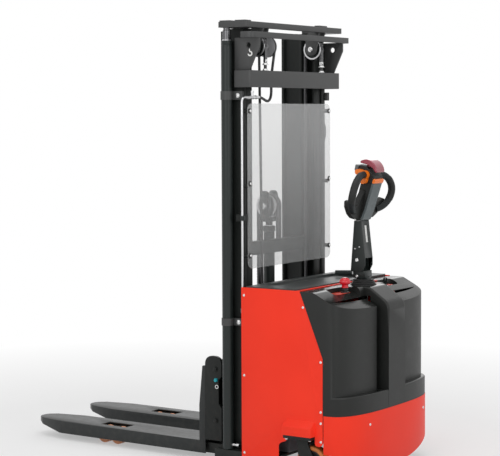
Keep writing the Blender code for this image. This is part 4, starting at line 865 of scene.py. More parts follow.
@dataclass
class Studio:
    """A white room with soft boxes, and the camera."""

    camera_place: tuple[float, float, float] = (6.1112, 4.2495, 1.5694)
    heading: float = 56.473
    down: float = 3.028
    roll: float = -0.218
    lens: float = 114.51
    shift: tuple[float, float] = (-0.0131, -0.0604)
    ambient: float = 0.50
    floor_size: float = 40.0

    def build(self) -> None:
        """Make the world, the floor, the lamps and the camera."""
        self.world()
        self.floor()
        self.lamp("overhead_box", (0.4, 0.6, 4.2), (0.0, 0.1, 0.8), 3.2, 40.0)
        self.lamp("left_box", (4.2, 0.9, 2.3), (0.1, 0.0, 0.8), 2.4, 31.0)
        self.lamp("rear_box", (1.9, 4.6, 2.2), (0.0, 0.3, 0.6), 2.2, 31.0)
        self.lamp("far_box", (-3.6, -1.6, 2.6), (0.0, 0.0, 0.9), 2.2, 15.0)
        self.camera()

    def world(self) -> None:
        """White to the eye and in reflections, dimmer as a source of light."""
        world = bpy.data.worlds.new("studio")
        bpy.context.scene.world = world
        world.use_nodes = True
        tree = world.node_tree
        ambient = tree.nodes["Background"]
        ambient.inputs[0].default_value = (1.0, 1.0, 1.0, 1.0)
        ambient.inputs[1].default_value = self.ambient
        white = tree.nodes.new("ShaderNodeBackground")
        white.inputs[0].default_value = (1.0, 1.0, 1.0, 1.0)
        seen = self.seen(tree)
        mix = tree.nodes.new("ShaderNodeMixShader")
        tree.links.new(seen, mix.inputs[0])
        tree.links.new(ambient.outputs[0], mix.inputs[1])
        tree.links.new(white.outputs[0], mix.inputs[2])
        tree.links.new(mix.outputs[0], tree.nodes["World Output"].inputs[0])

    @staticmethod
    def seen(tree: bpy.types.NodeTree) -> bpy.types.NodeSocket:
        """A mask for what the eye sees directly, in gloss or through clear sheet.

        Args:
            tree: where its nodes go.

        Returns:
            The mask's socket.
        """
        path = tree.nodes.new("ShaderNodeLightPath")
        mask = path.outputs["Is Camera Ray"]
        for name in ("Is Glossy Ray", "Is Transmission Ray"):
            either = tree.nodes.new("ShaderNodeMath")
            either.operation = "MAXIMUM"
            tree.links.new(mask, either.inputs[0])
            tree.links.new(path.outputs[name], either.inputs[1])
            mask = either.outputs[0]
        return mask

    def floor(self) -> None:
        """A white floor that keeps the shadow near the machine and fades into the backdrop."""
        only()
        bpy.ops.mesh.primitive_plane_add(size=self.floor_size, location=(0.0, 0.0, 0.0))
        floor = done(bpy.context.object, "studio_floor")
        board = Board("studio_floor_paint")
        cloud = board.noise(3.0, 2.0)
        board.set(Base_Color=board.blend(cloud, (0.90, 0.90, 0.90), (0.93, 0.93, 0.93)), Roughness=0.85)
        tree = board.tree
        reach = board.node("ShaderNodeVectorMath", {"operation": "LENGTH"}, {0: board.place})
        far = Value(board, reach.outputs["Value"]).above(1.4, 3.6)
        glow = board.node("ShaderNodeEmission", None, {"Color": (1.0, 1.0, 1.0, 1.0), "Strength": 1.0})
        share = (far * 0.62 + 0.38) * Value(board, self.seen(tree))
        mix = board.node("ShaderNodeMixShader", None,
                         {0: share, 1: board.shader.outputs[0], 2: glow.outputs[0]})
        tree.links.new(mix.outputs[0], tree.nodes["Material Output"].inputs["Surface"])
        floor.data.materials.append(board.material)

    @staticmethod
    def lamp(name: str, place: Point, target: Point, size: float, power: float) -> None:
        """A square soft box that faces a target."""
        data = bpy.data.lights.new(name, "AREA")
        data.shape = "SQUARE"
        data.size = size
        data.energy = power
        lamp = linked(name, data)
        lamp.location = place
        lamp.rotation_euler = (Vector(target) - Vector(place)).to_track_quat("-Z", "Y").to_euler()

    def camera(self) -> None:
        """The camera, level with the mast's upper third, behind and to the left."""
        data = bpy.data.cameras.new("camera")
        data.sensor_width = 36.0
        data.lens = self.lens
        data.shift_x, data.shift_y = self.shift
        data.clip_end = 100.0
        camera = linked("camera", data)
        yaw, pitch, roll = (math.radians(a) for a in (self.heading, self.down, self.roll))
        forward = Vector((-math.sin(yaw) * math.cos(pitch), -math.cos(yaw) * math.cos(pitch),
                          -math.sin(pitch)))
        right = forward.cross(Vector((0.0, 0.0, 1.0))).normalized()
        up = right.cross(forward)
        right, up = (right * math.cos(roll) + up * math.sin(roll),
                     up * math.cos(roll) - right * math.sin(roll))
        camera.matrix_world = Matrix.LocRotScale(
            Vector(self.camera_place), Matrix((right, up, -forward)).transposed(), None)
        bpy.context.scene.camera = camera
        bpy.context.scene.view_settings.view_transform = "Standard"


# ---- mast -----------------------------------------------------------------------------------

@dataclass
class LiftCylinder:
    """One of the two cylinders beside the mast, with its gland, clamp and chromed rod."""

    side: str
    sign: int
    tube: float = 0.0245
    rod_radius: float = 0.0175
    wall: float = 0.3505
    clamps: tuple[tuple[float, float], ...] = ((1.630, 1.668), (0.640, 0.672))

    def build(self) -> None:
        """Turn the tube and the rod, and add what holds them."""
        low, high = near(f"lift_cylinder_{self.side}")
        x, y = (low.x + high.x) / 2, (low.y + high.y) / 2
        bore = self.rod_radius + 0.0012
        top, base = high.z, low.z
        profile = [(0.0, base + 0.04), (bore, base + 0.04), (bore, top - 0.001), (self.tube - 0.004, top),
                   (self.tube - 0.001, top - 0.003), (self.tube - 0.001, top - 0.014),
                   (self.tube - 0.0022, top - 0.016), (self.tube - 0.0022, top - 0.019),
                   (self.tube, top - 0.021), (self.tube, base + 0.004), (self.tube - 0.004, base),
                   (0.0, base)]
        tube = turned(f"side_cylinder_{self.side}", profile, (x, y, 0.0), Along.Z, 56)
        fit(tube, CYLINDER, "chassis", [f"lift_cylinder_{self.side}"])
        low, high = near(f"lift_rod_{self.side}")
        rod_top = high.z
        profile = [(0.0, low.z), (self.rod_radius, low.z), (self.rod_radius, rod_top - 0.012),
                   (self.rod_radius - 0.003, rod_top - 0.010), (self.rod_radius - 0.003, rod_top),
                   (0.0, rod_top)]
        rod = turned(f"side_rod_{self.side}", profile, (x, y, 0.0), Along.Z, 48)
        fit(rod, CHROME, "middle_mast", [f"lift_rod_{self.side}"])
        self.wiper(x, y, top)
        for number, span in enumerate(self.clamps, start=1):
            self.clamp(number, x, y, span)

    def wiper(self, x: float, y: float, top: float) -> None:
        """The bright wiper ring at the cylinder's mouth."""
        inner = self.rod_radius + 0.0004
        ring = turned(f"wiper_ring_{self.side}", [(inner, top + 0.0003), (self.tube - 0.004, top + 0.0003),
                                                  (self.tube - 0.005, top + 0.0035), (inner, top + 0.0045),
                                                  (inner, top + 0.0003)], (x, y, 0.0), Along.Z, 40)
        fit(ring, ZINC, "chassis")

    def clamp(self, number: int, x: float, y: float, span: tuple[float, float]) -> None:
        """A band around the tube with two ears bolted to the upright."""
        low, high = span
        outer = self.tube + 0.0035
        band = turned("band", [(self.tube - 0.001, low), (outer, low), (outer, high),
                               (self.tube - 0.001, high), (self.tube - 0.001, low)], (x, y, 0.0), Along.Z, 48)
        ear_x = (x - self.sign * 0.010, self.sign * self.wall)
        ear = block("ear", (min(ear_x), y + 0.020, low + 0.001), (max(ear_x), y + 0.072, high - 0.001), 0.002)
        plate_x = (self.sign * (self.wall + 0.0185), self.sign * (self.wall + 0.0145))
        tab = block("tab", (min(plate_x), y + 0.015, low), (max(plate_x), y + 0.074, high), 0.0015)
        holder = gather(f"cylinder_clamp_{self.side}_{number}", [band, ear, tab])
        # The clamp takes the lighter copy of the mast paint, which is painted sheen.
        fit(holder, MAST_PAINTED_SHEEN, "chassis")
        bolt = hexagon((self.sign * (self.wall + 0.0187), y + 0.052, (low + high) / 2), Along.X, 0.0075,
                       0.006,
                       self.sign)
        fit(bolt, BOLT, "chassis", name=f"clamp_bolt_{self.side}_{number}")


@dataclass
class MastFrame:
    """Uprights, straps and crossbars of the three stages, with the clear guard."""

    edge: float = 0.0013
    guard_bolts: tuple[float, ...] = (1.581, 1.263, 0.947)
    guard_bolt_x: float = 0.335
    guard_pad: float = 0.0115
    guard_corner: float = 0.030
    gusset_x: float = 0.3603
    hook: tuple[float, float] = (0.0185, 1.8365)

    def build(self) -> None:
        """Refine the steelwork, then hang the guard and the signs on it."""
        uprights = [f"{stage}_upright_{side}" for side, _ in SIDES for stage in ("outer", "middle", "inner")]
        straps = {"outer_top_strap": 0.0018, "outer_cross_band": 0.0020, "middle_top_strap": 0.0018}
        for node in (*uprights, *straps, "middle_crossbar", "inner_crossbar", "inner_base_bar"):
            body = "chassis" if node.startswith("outer") else node.split("_")[0] + "_mast"
            # The straps take the lighter copy of the mast paint, which is painted sheen; the rest keep the
            # mast's own black.
            finish = MAST_PAINTED_SHEEN if node in straps else MAST_DARK
            finish_copy(node, straps.get(node, self.edge), finish, body)
        self.guard()
        self.hook_signs()

    def guard(self) -> None:
        """The clear sheet with its rounded corners, bolts and spacers."""
        low, high = near("mast_guard")
        outline = pane((-high.x, low.z), (high.x, high.z), self.guard_corner, 10)
        sheet = slab("guard_sheet", outline, Facing.XZ, (low.y, high.y), 0.0006, 1)
        fit(sheet, GUARD, "chassis", ["mast_guard"])
        for side, sign in SIDES:
            for number, z in enumerate(self.guard_bolts, start=1):
                place = (sign * self.guard_bolt_x, high.y + 0.0002, z)
                pad = turned("pad", [(0.0, 0.0), (self.guard_pad, 0.0), (self.guard_pad, 0.0018),
                                     (self.guard_pad - 0.002, 0.0026), (0.0, 0.0026)], place, Along.Y, 28)
                fit(pad, RUBBER, "chassis", name=f"guard_washer_{side}_{number}")
                bolt = screw((place[0], place[1] + 0.0027, z), Along.Y, 0.0068, 0.0042)
                fit(bolt, BOLT, "chassis", name=f"guard_bolt_{side}_{number}")
        self.edge_loop()

    def edge_loop(self) -> None:
        """The bent wire that keeps the lift cable off the far upright."""
        x, y = -0.3502, -0.045
        run = [(x, y, 1.520), (x - 0.012, y + 0.004, 1.524), (x - 0.016, y + 0.008, 1.512),
               (x - 0.016, y + 0.010, 1.480), (x - 0.016, y + 0.008, 1.452), (x - 0.012, y + 0.004, 1.440),
               (x, y, 1.444)]
        fit(pipe("side_wire_loop", run, 0.0028), CYLINDER, "chassis")

    def hook_signs(self) -> None:
        """The white hook painted on each lifting gusset, under its hole."""
        y, z = self.hook
        for side, sign in SIDES:
            shank = [(y + 0.0005, z + 0.0145), (y - 0.0008, z + 0.008), (y + 0.0024, z + 0.002)]
            bend = [(y + 0.0025 + 0.0098 * math.cos(a), z - 0.0065 + 0.0088 * math.sin(a))
                    for a in angles(62, -190, -14)]
            sign_piece = slab(f"hook_sign_{side}", self.stroke(shank + bend, 0.0031), Facing.YZ,
                              (sign * (self.gusset_x + 0.0001), sign * (self.gusset_x + 0.0005)))
            fit(sign_piece, SIGN, "chassis")

    @staticmethod
    def stroke(run: Sequence[Point], half: float) -> list[tuple[float, float]]:
        """The outline of a line of constant width that tapers at its end.

        Args:
            run: the points that it follows.
            half: half of its width.

        Returns:
            Its closed outline.
        """
        left, right = [], []
        for index, (u, v) in enumerate(run):
            before, after = run[max(index - 1, 0)], run[min(index + 1, len(run) - 1)]
            along = Vector((after[0] - before[0], after[1] - before[1])).normalized()
            width = half * (0.45 if index in (0, len(run) - 1) else 1.0)
            left.append((u - along.y * width, v + along.x * width))
            right.append((u + along.y * width, v - along.x * width))
        return left + right[::-1]


@dataclass
class LeafChains:
    """The two lift chains and the free-lift chain, link by link."""

    pitch: float = 0.0127
    plate: float = 0.0052
    pin: float = 0.0026

    def build(self) -> None:
        """Lay the links along each chain and split the chains where the stages slide."""
        for side, sign in SIDES:
            low, _ = near(f"lift_chain_{side}")
            x, rear, front = sign * CHAIN_X, PULLEY_Y + CHAIN_R, PULLEY_Y - CHAIN_R
            base, anchor = low.z, 1.800
            self.lay(f"lift_chain_{side}", x, 0.0175, (rear, anchor + 0.012), (front, base + 0.006),
                     (PULLEY_Y, PULLEY_Z), CHAIN_R, ("chassis", "middle_mast"), ("middle_mast", "inner_mast"),
                     "middle_mast")
            self.anchor(f"chain_anchor_{side}", x, rear, 1.7585)
        low, _ = near("free_lift_chain")
        self.lay("free_lift_chain", 0.0, 0.034, (SHEAVE_Y + SHEAVE_R, low.z if low.z > 0.9 else 0.9985),
                 (SHEAVE_Y - SHEAVE_R, 0.4505), (SHEAVE_Y, SHEAVE_Z), SHEAVE_R, ("inner_mast", "crosshead"),
                 ("crosshead", "carriage"), "crosshead")

    def link_stack(self, name: str, width: float) -> Solid:
        """One pitch of chain at the origin, drawn along Z: two sets of plates and a pin.

        Args:
            name: of the new object.
            width: of the stack, across X.

        Returns:
            The stack, with the pin at its lower end.
        """
        half = self.pitch / 2
        waist = self.plate * 0.74
        outline = []
        for centre, start in ((self.pitch, 0.0), (0.0, 180.0)):
            for step in range(5):
                a = math.radians(start + 45 * step)
                outline.append((self.plate * math.cos(a), centre + self.plate * math.sin(a)))
            outline.append((-waist if start == 0.0 else waist, half))
        count = max(2, round(width / 0.0042))
        leaf = width / (count * 2 - 1)
        pieces = []
        for row in range(0, count * 2 - 1, 2):
            u = -width / 2 + row * leaf
            pieces.append(self.flat(outline, (u, u + leaf * 0.92), 0.0))
            if row + 1 < count * 2 - 1:
                pieces.append(self.flat(outline, (u + leaf, u + leaf * 1.92), -self.pitch))
        only()
        bpy.ops.mesh.primitive_cylinder_add(vertices=10, radius=self.pin, depth=width + 0.0016,
                                            rotation=(0.0, math.pi / 2, 0.0))
        pieces.append(done(bpy.context.object))
        return gather(name, pieces)

    @staticmethod
    def flat(outline: Sequence[Point], span: tuple[float, float], lift: float) -> Solid:
        """One link plate in the YZ plane at the origin."""
        piece = trace("leaf", [(span[0], u, v + lift) for u, v in outline])
        bpy.ops.mesh.edge_face_add()
        bpy.ops.mesh.extrude_region_move(TRANSFORM_OT_translate={"value": (span[1] - span[0], 0.0, 0.0)})
        return outwards(piece)

    def lay(self, name: str, x: float, width: float, rear: Point, front: Point, wheel: Point, radius: float,
            rear_bodies: tuple[str, str], front_bodies: tuple[str, str], arc_body: str) -> None:
        """Copy the link stack along a chain that rises at the rear, rounds its wheel and falls in front.

        Args:
            name: of the CAD chain, which the pieces replace.
            x: middle of the chain.
            width: of its links.
            rear: (y, z) of its rear end.
            front: (y, z) of its front end.
            wheel: (y, z) of the wheel's axle.
            radius: of its centre line round the wheel.
            rear_bodies: the bodies at the rear strand's lower and upper end; only how many there are is read,
                and with two the strand is left on no body.
            front_bodies: the same for the front strand's upper and lower end.
            arc_body: what the stretch round the wheel moves with.
        """
        stack = self.link_stack("links", width)
        top = wheel[1]
        rise = [((rear[0], z), 0.0) for z in self.steps(rear[1], top)]
        fall = [((front[0], z), math.pi) for z in self.steps(top, front[1])]
        count = max(4, round(math.pi * radius / self.pitch))
        bend = []
        for step in range(1, count):
            a = math.pi * step / count
            bend.append(((wheel[0] + radius * math.cos(a), top + radius * math.sin(a)), a))
        for part, places, bodies in (("rear", rise, rear_bodies), ("bend", bend, (arc_body,)),
                                     ("front", fall, front_bodies)):
            piece = self.copies(stack, f"{name}_{part}", x, places)
            piece.data.materials.append(CHAIN.build())
            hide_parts(name)
            if len(bodies) == 1:
                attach(piece, bodies[0])
            else:
                ends = (places[0][0], places[-1][0])
                start, end = (ends[0][1], top) if part == "rear" else (top, ends[1][1])
                at(x, ends[0][0], start)
                at(x, ends[0][0], end)
                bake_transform(piece)
            LOG.info("%s: %d links", piece.name, len(places))
        spent(stack)

    def steps(self, start: float, end: float) -> list[float]:
        """Heights a pitch apart from start towards end, both included."""
        count = max(1, round(abs(end - start) / self.pitch))
        return [start + (end - start) * step / count for step in range(count + 1)]

    @staticmethod
    def copies(stack: Solid, name: str, x: float, places: Sequence[tuple[Point, float]]) -> Solid:
        """Copies of the stack at (y, z) places, each turned by its angle about X, as one mesh."""
        made = []
        for (y, z), angle in places:
            twin = linked("links", stack.data.copy())
            twin.matrix_world = Matrix.Translation(at(x, y, z)) @ Matrix.Rotation(angle, 4, "X")
            made.append(twin)
        piece = gather(name, made)
        return smooth(piece, 40.0)

    def anchor(self, name: str, x: float, y: float, z: float) -> None:
        """A threaded anchor with nuts, under the chain's fixed end."""
        stud = turned("stud", [(0.0, 0.0), (0.0052, 0.0), (0.0052, 0.043), (0.0, 0.043)], (x, y, z), Along.Z,
                      24)
        nut = hexagon((x, y, z + 0.0005), Along.Z, 0.0105, 0.0085)
        check = hexagon((x, y, z + 0.0245), Along.Z, 0.0110, 0.0095)
        head = block("head", (x - 0.0085, y - 0.0060, z + 0.035), (x + 0.0085, y + 0.0060, z + 0.050), 0.0015)
        fit(gather(name, [stud, nut, check, head]), BOLT, "chassis")


@dataclass
class ChainWheels:
    """The pulleys of the lift chains and the sheave of the free-lift chain."""

    face: float = 0.0118
    root: float = 0.0374
    rim: float = 0.0465
    groove: float = 0.0099

    def build(self) -> None:
        """Turn each wheel and its axle's end."""
        for side, sign in SIDES:
            low, high = near(f"chain_pulley_{side}")
            x, y, z = sign * CHAIN_X, PULLEY_Y, PULLEY_Z
            root, rim, groove = self.root, self.rim, self.groove
            hub_out = max(abs(low.x - x), abs(high.x - x))
            bore = 0.0123
            profile = [(bore, -hub_out), (0.018, -hub_out), (0.018, -0.0085), (0.034, -0.0085),
                       (0.036, -self.face + 0.0006), (0.0378, -self.face), (rim - 0.0012, -self.face),
                       (rim, -self.face + 0.001), (rim, -groove - 0.0002), (root, -groove + 0.0006),
                       (root, groove - 0.0006), (rim, groove + 0.0002), (rim, self.face - 0.001),
                       (rim - 0.0012, self.face), (0.0378, self.face), (0.036, self.face - 0.0006),
                       (0.034, 0.0085), (0.018, 0.0085), (0.018, hub_out), (bore, hub_out),
                       (bore, -hub_out)]
            wheel = turned(f"pulley_{side}", profile, (x, y, z), Along.X, 64)
            fit(wheel, CYLINDER, f"pulley_{side}", [f"chain_pulley_{side}"])
            ring = [(0.0395, 0.0114), (0.0395, 0.0122), (0.0462, 0.0122), (0.0469, 0.0114), (0.0469, 0.0101),
                    (0.0460, 0.0101), (0.0395, 0.0114)]
            rims = [turned("rim", [(r, way * u) for r, u in ring], (x, y, z), Along.X, 64) for way in (1, -1)]
            fit(gather(f"pulley_rims_{side}", [outwards(rim) for rim in rims]), ZINC, f"pulley_{side}")
            lug = slab(f"pulley_lug_inner_{side}",
                       rounded([(-0.050, 1.839, 0.024), (0.004, 1.839, 0.024), (0.022, 1.9440, 0.0),
                                (-0.034, 1.9440, 0.0), (-0.050, 1.925, 0.010)]),
                       Facing.YZ, (sign * 0.2105, sign * 0.2215), 0.0012)
            # The lug takes the lighter copy of the mast paint, which is painted sheen.
            fit(lug, MAST_PAINTED_SHEEN, "middle_mast")
            end = screw((sign * (0.2563 + 0.0121), y, z), Along.X, 0.0125, 0.005, 28, sign)
            fit(end, BOLT, "middle_mast", name=f"pulley_axle_outer_{side}")
            inner = screw((sign * 0.2104, y, z), Along.X, 0.0120, 0.004, 28, -sign)
            fit(inner, BOLT, "middle_mast", name=f"pulley_axle_inner_{side}")
        self.sheave()

    def sheave(self) -> None:
        """The wide wheel in the crosshead."""
        hub = near("crosshead_sheave")[1].x
        half, groove, root, rim, bore = 0.0225, 0.0184, 0.0462, 0.0540, 0.0083
        profile = [(bore, -hub), (0.018, -hub), (0.018, -0.016), (0.042, -0.016), (0.044, -half),
                   (rim - 0.001, -half), (rim, -half + 0.001), (rim, -groove), (root, -groove),
                   (root, groove), (rim, groove), (rim, half - 0.001), (rim - 0.001, half),
                   (0.044, half), (0.042, 0.016), (0.018, 0.016), (0.018, hub), (bore, hub), (bore, -hub)]
        fit(turned("sheave_wheel", profile, (0.0, SHEAVE_Y, SHEAVE_Z), Along.X, 64), ZINC, "sheave",
            ["crosshead_sheave"])


@dataclass
class FreeLift:
    """The cylinder in the middle of the inner mast, with its crosshead."""

    tube: float = 0.025
    bore: float = 0.0164

    def build(self) -> None:
        """Turn the tube, refine the yoke and bolt it together."""
        low, high = near("free_lift_cylinder")
        r, bore, top = self.tube, self.bore, high.z
        profile = [(0.0, low.z + 0.03), (bore, low.z + 0.03), (bore, top), (r + 0.0015, top),
                   (r + 0.004, top - 0.0025), (r + 0.004, top - 0.0225), (r + 0.0015, top - 0.025),
                   (r, top - 0.026), (r, low.z + 0.004), (r - 0.004, low.z), (0.0, low.z)]
        tube = turned("centre_cylinder", profile, (0.0, SHEAVE_Y, 0.0), Along.Z, 56)
        fit(tube, CYLINDER, "inner_mast", ["free_lift_cylinder"])
        finish_copy("crosshead", 0.0016, BLACK, "crosshead", "crosshead_yoke")
        for side, sign in SIDES:
            cap = screw((sign * 0.0415, SHEAVE_Y, SHEAVE_Z), Along.X, 0.0135, 0.006, 32, sign)
            fit(cap, BOLT, "crosshead", name=f"sheave_axle_{side}")
        gland = turned("centre_gland", [(bore, top + 0.0003), (0.0215, top + 0.0003), (0.0205, top + 0.0045),
                                        (bore, top + 0.0050), (bore, top + 0.0003)], (0.0, SHEAVE_Y, 0.0),
                       Along.Z, 40)
        fit(gland, ZINC, "inner_mast")


@dataclass
class Hydraulics:
    """The zinc pipe on the left upright, its tee, and the hose over its own small sheave."""

    hose_x: float = 0.158
    hose: float = 0.0060
    wheel_r: float = 0.0470
    band_y: float = -0.0035
    foot_y: float = -0.0440
    tee_y: float = 0.002
    tee_z: float = 1.6415

    def build(self) -> None:
        """Lay the pipe, the tee, the hose and its sheave."""
        self.pipe_run()
        self.tee()
        self.sheave()
        self.hoses()

    def pipe_run(self) -> None:
        """The bent steel pipe and the clips that hold it."""
        low, high = near("hydraulic_pipe")
        r, bend = 0.005, 0.022
        x, y, top = high.x - r, low.y + r, high.z - r - bend
        turn = [(x - bend + bend * math.cos(a), y, top + bend * math.sin(a))
                for a in angles(0, 91, 10)]
        run = [(x, y, low.z)] + turn + [(0.345, y + 0.004, top + bend), (0.3253, y + 0.006, top + bend)]
        piece = pipe("zinc_pipe", run, r, 5, smooth_run=False)
        fit(piece, ZINC, "chassis", ["hydraulic_pipe"])
        nut = turned("nut", [(r, 0.0), (0.0095, 0.0), (0.0095, 0.016), (0.0080, 0.019), (r, 0.019), (r, 0.0)],
                     (x, y, low.z + 0.002), Along.Z, 6)
        fit(nut, BOLT, "chassis", name="pipe_nut")
        for number, z in enumerate((1.115, 0.760), start=1):
            clip = block(f"pipe_clip_{number}", (x - 0.0115, y - 0.0062, z - 0.011),
                         (x + 0.0068, y + 0.0092, z + 0.011),
                         0.0022)
            fit(clip, CYLINDER, "chassis")

    def tee(self) -> None:
        """The fitting between the pipe and the hose, beside the band."""
        y, z = self.tee_y, self.tee_z
        collar = [(0.0, 0.0), (0.0070, 0.0), (0.0070, 0.010), (0.0092, 0.010), (0.0092, 0.024),
                  (0.0062, 0.024),
                  (0.0062, 0.034), (0.0088, 0.034), (0.0088, 0.050), (0.0065, 0.050), (0.0065, 0.066),
                  (0.0, 0.066)]
        body = turned("tee_run", [(r, -h) for r, h in collar], (0.327, y, z), Along.X, 6)
        stem = turned("tee_stem", [(0.0, 0.0), (0.0060, 0.0), (0.0060, 0.018), (0.0085, 0.018),
                                   (0.0085, 0.028), (0.0, 0.028)], (0.3165, y, z), Along.Z, 6)
        stay = block("stay", (0.3215, -0.0291, z - 0.008), (0.3325, y - 0.004, z + 0.006), 0.0015)
        fit(gather("hose_tee", [body, stem, stay]), ZINC, "chassis")

    def sheave(self) -> None:
        """The pale plastic wheel that the hose runs over, hung from the middle strap."""
        r, root = self.wheel_r, self.wheel_r - 0.0105
        profile = [(0.0055, -0.0095), (0.013, -0.0095), (0.013, -0.007), (r, -0.0085), (r, -0.0065),
                   (root, -0.003),
                   (root, 0.003), (r, 0.0065), (r, 0.0085), (0.013, 0.007), (0.013, 0.0095), (0.0055, 0.0095),
                   (0.0055, -0.0095)]
        wheel = turned("hose_wheel", profile, (self.hose_x, PULLEY_Y, PULLEY_Z), Along.X, 56)
        fit(wheel, HOSE_WHEEL, "middle_mast")
        axle = rod("hose_wheel_axle", (self.hose_x - 0.0125, PULLEY_Y, PULLEY_Z),
                   (0.2225, PULLEY_Y, PULLEY_Z), 0.0052, 24, 0.0008)
        fit(axle, BOLT, "middle_mast")

    def hoses(self) -> None:
        """The loop out of the tee and the two strands over the wheel, split where the stages slide."""
        x, r = self.hose_x, self.wheel_r - 0.0105 + self.hose
        rear, front, exit_z, foot_z = PULLEY_Y + r, PULLEY_Y - r, 1.716, 0.210
        y, z = self.tee_y, self.tee_z
        loop = [(0.262, y, z), (0.246, y, z - 0.001), (0.222, y, z - 0.009), (0.200, 0.000, z - 0.017),
                (0.178, -0.002, z - 0.017), (0.160, self.band_y, z - 0.003), (0.153, self.band_y, z + 0.022),
                (0.155, self.band_y, 1.692), (x, self.band_y, exit_z)]
        piece = pipe("hose_loop", loop, self.hose, 5)
        fit(piece, HOSE, "chassis")
        rise = pipe("hose_rear", self.straight((x, self.band_y, exit_z), (x, rear, PULLEY_Z)), self.hose, 5,
                    False)
        bend = pipe("hose_bend", [(x, PULLEY_Y + r * math.cos(a), PULLEY_Z + r * math.sin(a))
                                  for a in angles(0, 181, 10)], self.hose, 5, False)
        fall = pipe("hose_front", self.straight((x, front, PULLEY_Z), (x, self.foot_y, foot_z)), self.hose, 5,
                    False)
        for item in (rise, bend, fall):
            item.data.materials.append(HOSE.build())
        at(x, self.band_y, exit_z)
        at(x, rear, PULLEY_Z)
        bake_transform(rise)
        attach(bend, "middle_mast")
        at(x, front, PULLEY_Z)
        at(x, self.foot_y, foot_z)
        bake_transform(fall)
        ferrule = turned("hose_ferrule", [(0.0, 0.0), (0.0088, 0.0), (0.0088, 0.022), (0.0072, 0.026),
                                          (0.0, 0.026)], (x, self.foot_y, foot_z - 0.019), Along.Z, 24)
        stay = block("stay", (x - 0.012, -0.0795, 0.1856), (x + 0.012, self.foot_y, 0.1926), 0.0012)
        fit(gather("hose_ferrule", [ferrule, stay]), ZINC, "inner_mast")

    @staticmethod
    def straight(start: Point, end: Point) -> list[tuple[float, ...]]:
        """Points from start to end, close enough together to bend evenly."""
        count = max(4, round((Vector(end) - Vector(start)).length / 0.02))
        return [tuple(Vector(start).lerp(Vector(end), step / count)) for step in range(count + 1)]


# ---- forks, legs and carriage ---------------------------------------------------------------

@dataclass
class ForkCarriage:
    """The carriage frame, the two forks, the support legs and their rollers."""

    core: float = 0.020
    ear_x: float = 0.2811
    bolt_z: tuple[float, ...] = (0.420, 0.185)

    def build(self) -> None:
        """Refine the steelwork and turn the rollers."""
        finish_copy("carriage_frame", 0.0016, BLACK, "carriage")
        for side, sign in SIDES:
            finish_copy(f"fork_{side}", 0.0022, FORK, "carriage")
            finish_copy(f"support_leg_{side}", 0.0016, BLACK, "chassis")
            for number in (1, 2):
                self.roller(side, number)
            self.ear_bolts(side, sign)
        self.chain_stud()

    def roller(self, side: str, number: int) -> None:
        """A polyurethane tyre with rounded shoulders on a steel core, turning on its pin."""
        node = f"load_roller_{side}_{number}"
        low, high = near(node)
        centre = ((low.x + high.x) / 2, (low.y + high.y) / 2, (low.z + high.z) / 2)
        half, r, core = (high.x - low.x) / 2, (high.z - low.z) / 2, self.core
        profile = tyre_profile([(core, half - 0.002), (core + 0.003, half)], r, half, 0.006, 18)
        tyre = turned(f"roller_tyre_{side}_{number}", profile, centre, Along.X, 56)
        fit(tyre, ROLLER, node, [node])
        bore = 0.0083
        hub = turned(f"roller_core_{side}_{number}",
                     both_halves([(bore, half), (0.0125, half), (0.0135, half - 0.003),
                                  (core - 0.001, half - 0.003), (core - 0.0002, half - 0.0035)]),
                     centre, Along.X, 40)
        fit(hub, ZINC, node)

    def ear_bolts(self, side: str, sign: int) -> None:
        """Bolts through the carriage's ears into its guide rollers."""
        for number, z in enumerate(self.bolt_z, start=1):
            bolt = hexagon((sign * self.ear_x, -0.226, z), Along.X, 0.0105, 0.007, sign)
            # Painted shade: the ear bolts are coloured black to stay dark in the shade of the carriage plate,
            # where bright zinc would show.
            fit(bolt, BLACK, "carriage", name=f"carriage_bolt_{side}_{number}")
        for number, x in enumerate((0.130, 0.165), start=1):
            head = hexagon((sign * x, -0.2617, 0.413), Along.Y, 0.0095, 0.007)
            fit(head, BOLT, "carriage", name=f"bar_bolt_{side}_{number}")

    def chain_stud(self) -> None:
        """The free-lift chain's stud and nuts under the carriage lug."""
        y = -0.170
        stud = turned("stud", [(0.0, 0.0), (0.0055, 0.0), (0.0055, 0.030), (0.0, 0.030)], (0.0, y, 0.3965),
                      Along.Z, 20)
        nut = hexagon((0.0, y, 0.4248), Along.Z, 0.011, 0.009, -1)
        fit(gather("carriage_chain_stud", [stud, nut]), BOLT, "carriage")


# ---- body -----------------------------------------------------------------------------------

@dataclass
class BodyPlan:
    """The squared-off ellipse that the rear of the body follows."""

    half_width: float = 0.3987
    front: float = 0.412
    power: float = 3.2

    def bow(self, inset: float, depth: float, steps: int = 48) -> list[tuple[float, float]]:
        """Half of the plan from left to right.

        Args:
            inset: how far it lies inside the body's width.
            depth: how far it bows out behind its front.
            steps: edges along it.

        Returns:
            Its (x, y) points.
        """
        points = []
        for step in range(steps + 1):
            a = math.pi * step / steps
            x = (self.half_width - inset) * math.copysign(abs(math.cos(a)) ** (2 / self.power), math.cos(a))
            points.append((x, self.front + depth * max(math.sin(a), 0.0) ** (2 / self.power)))
        return points


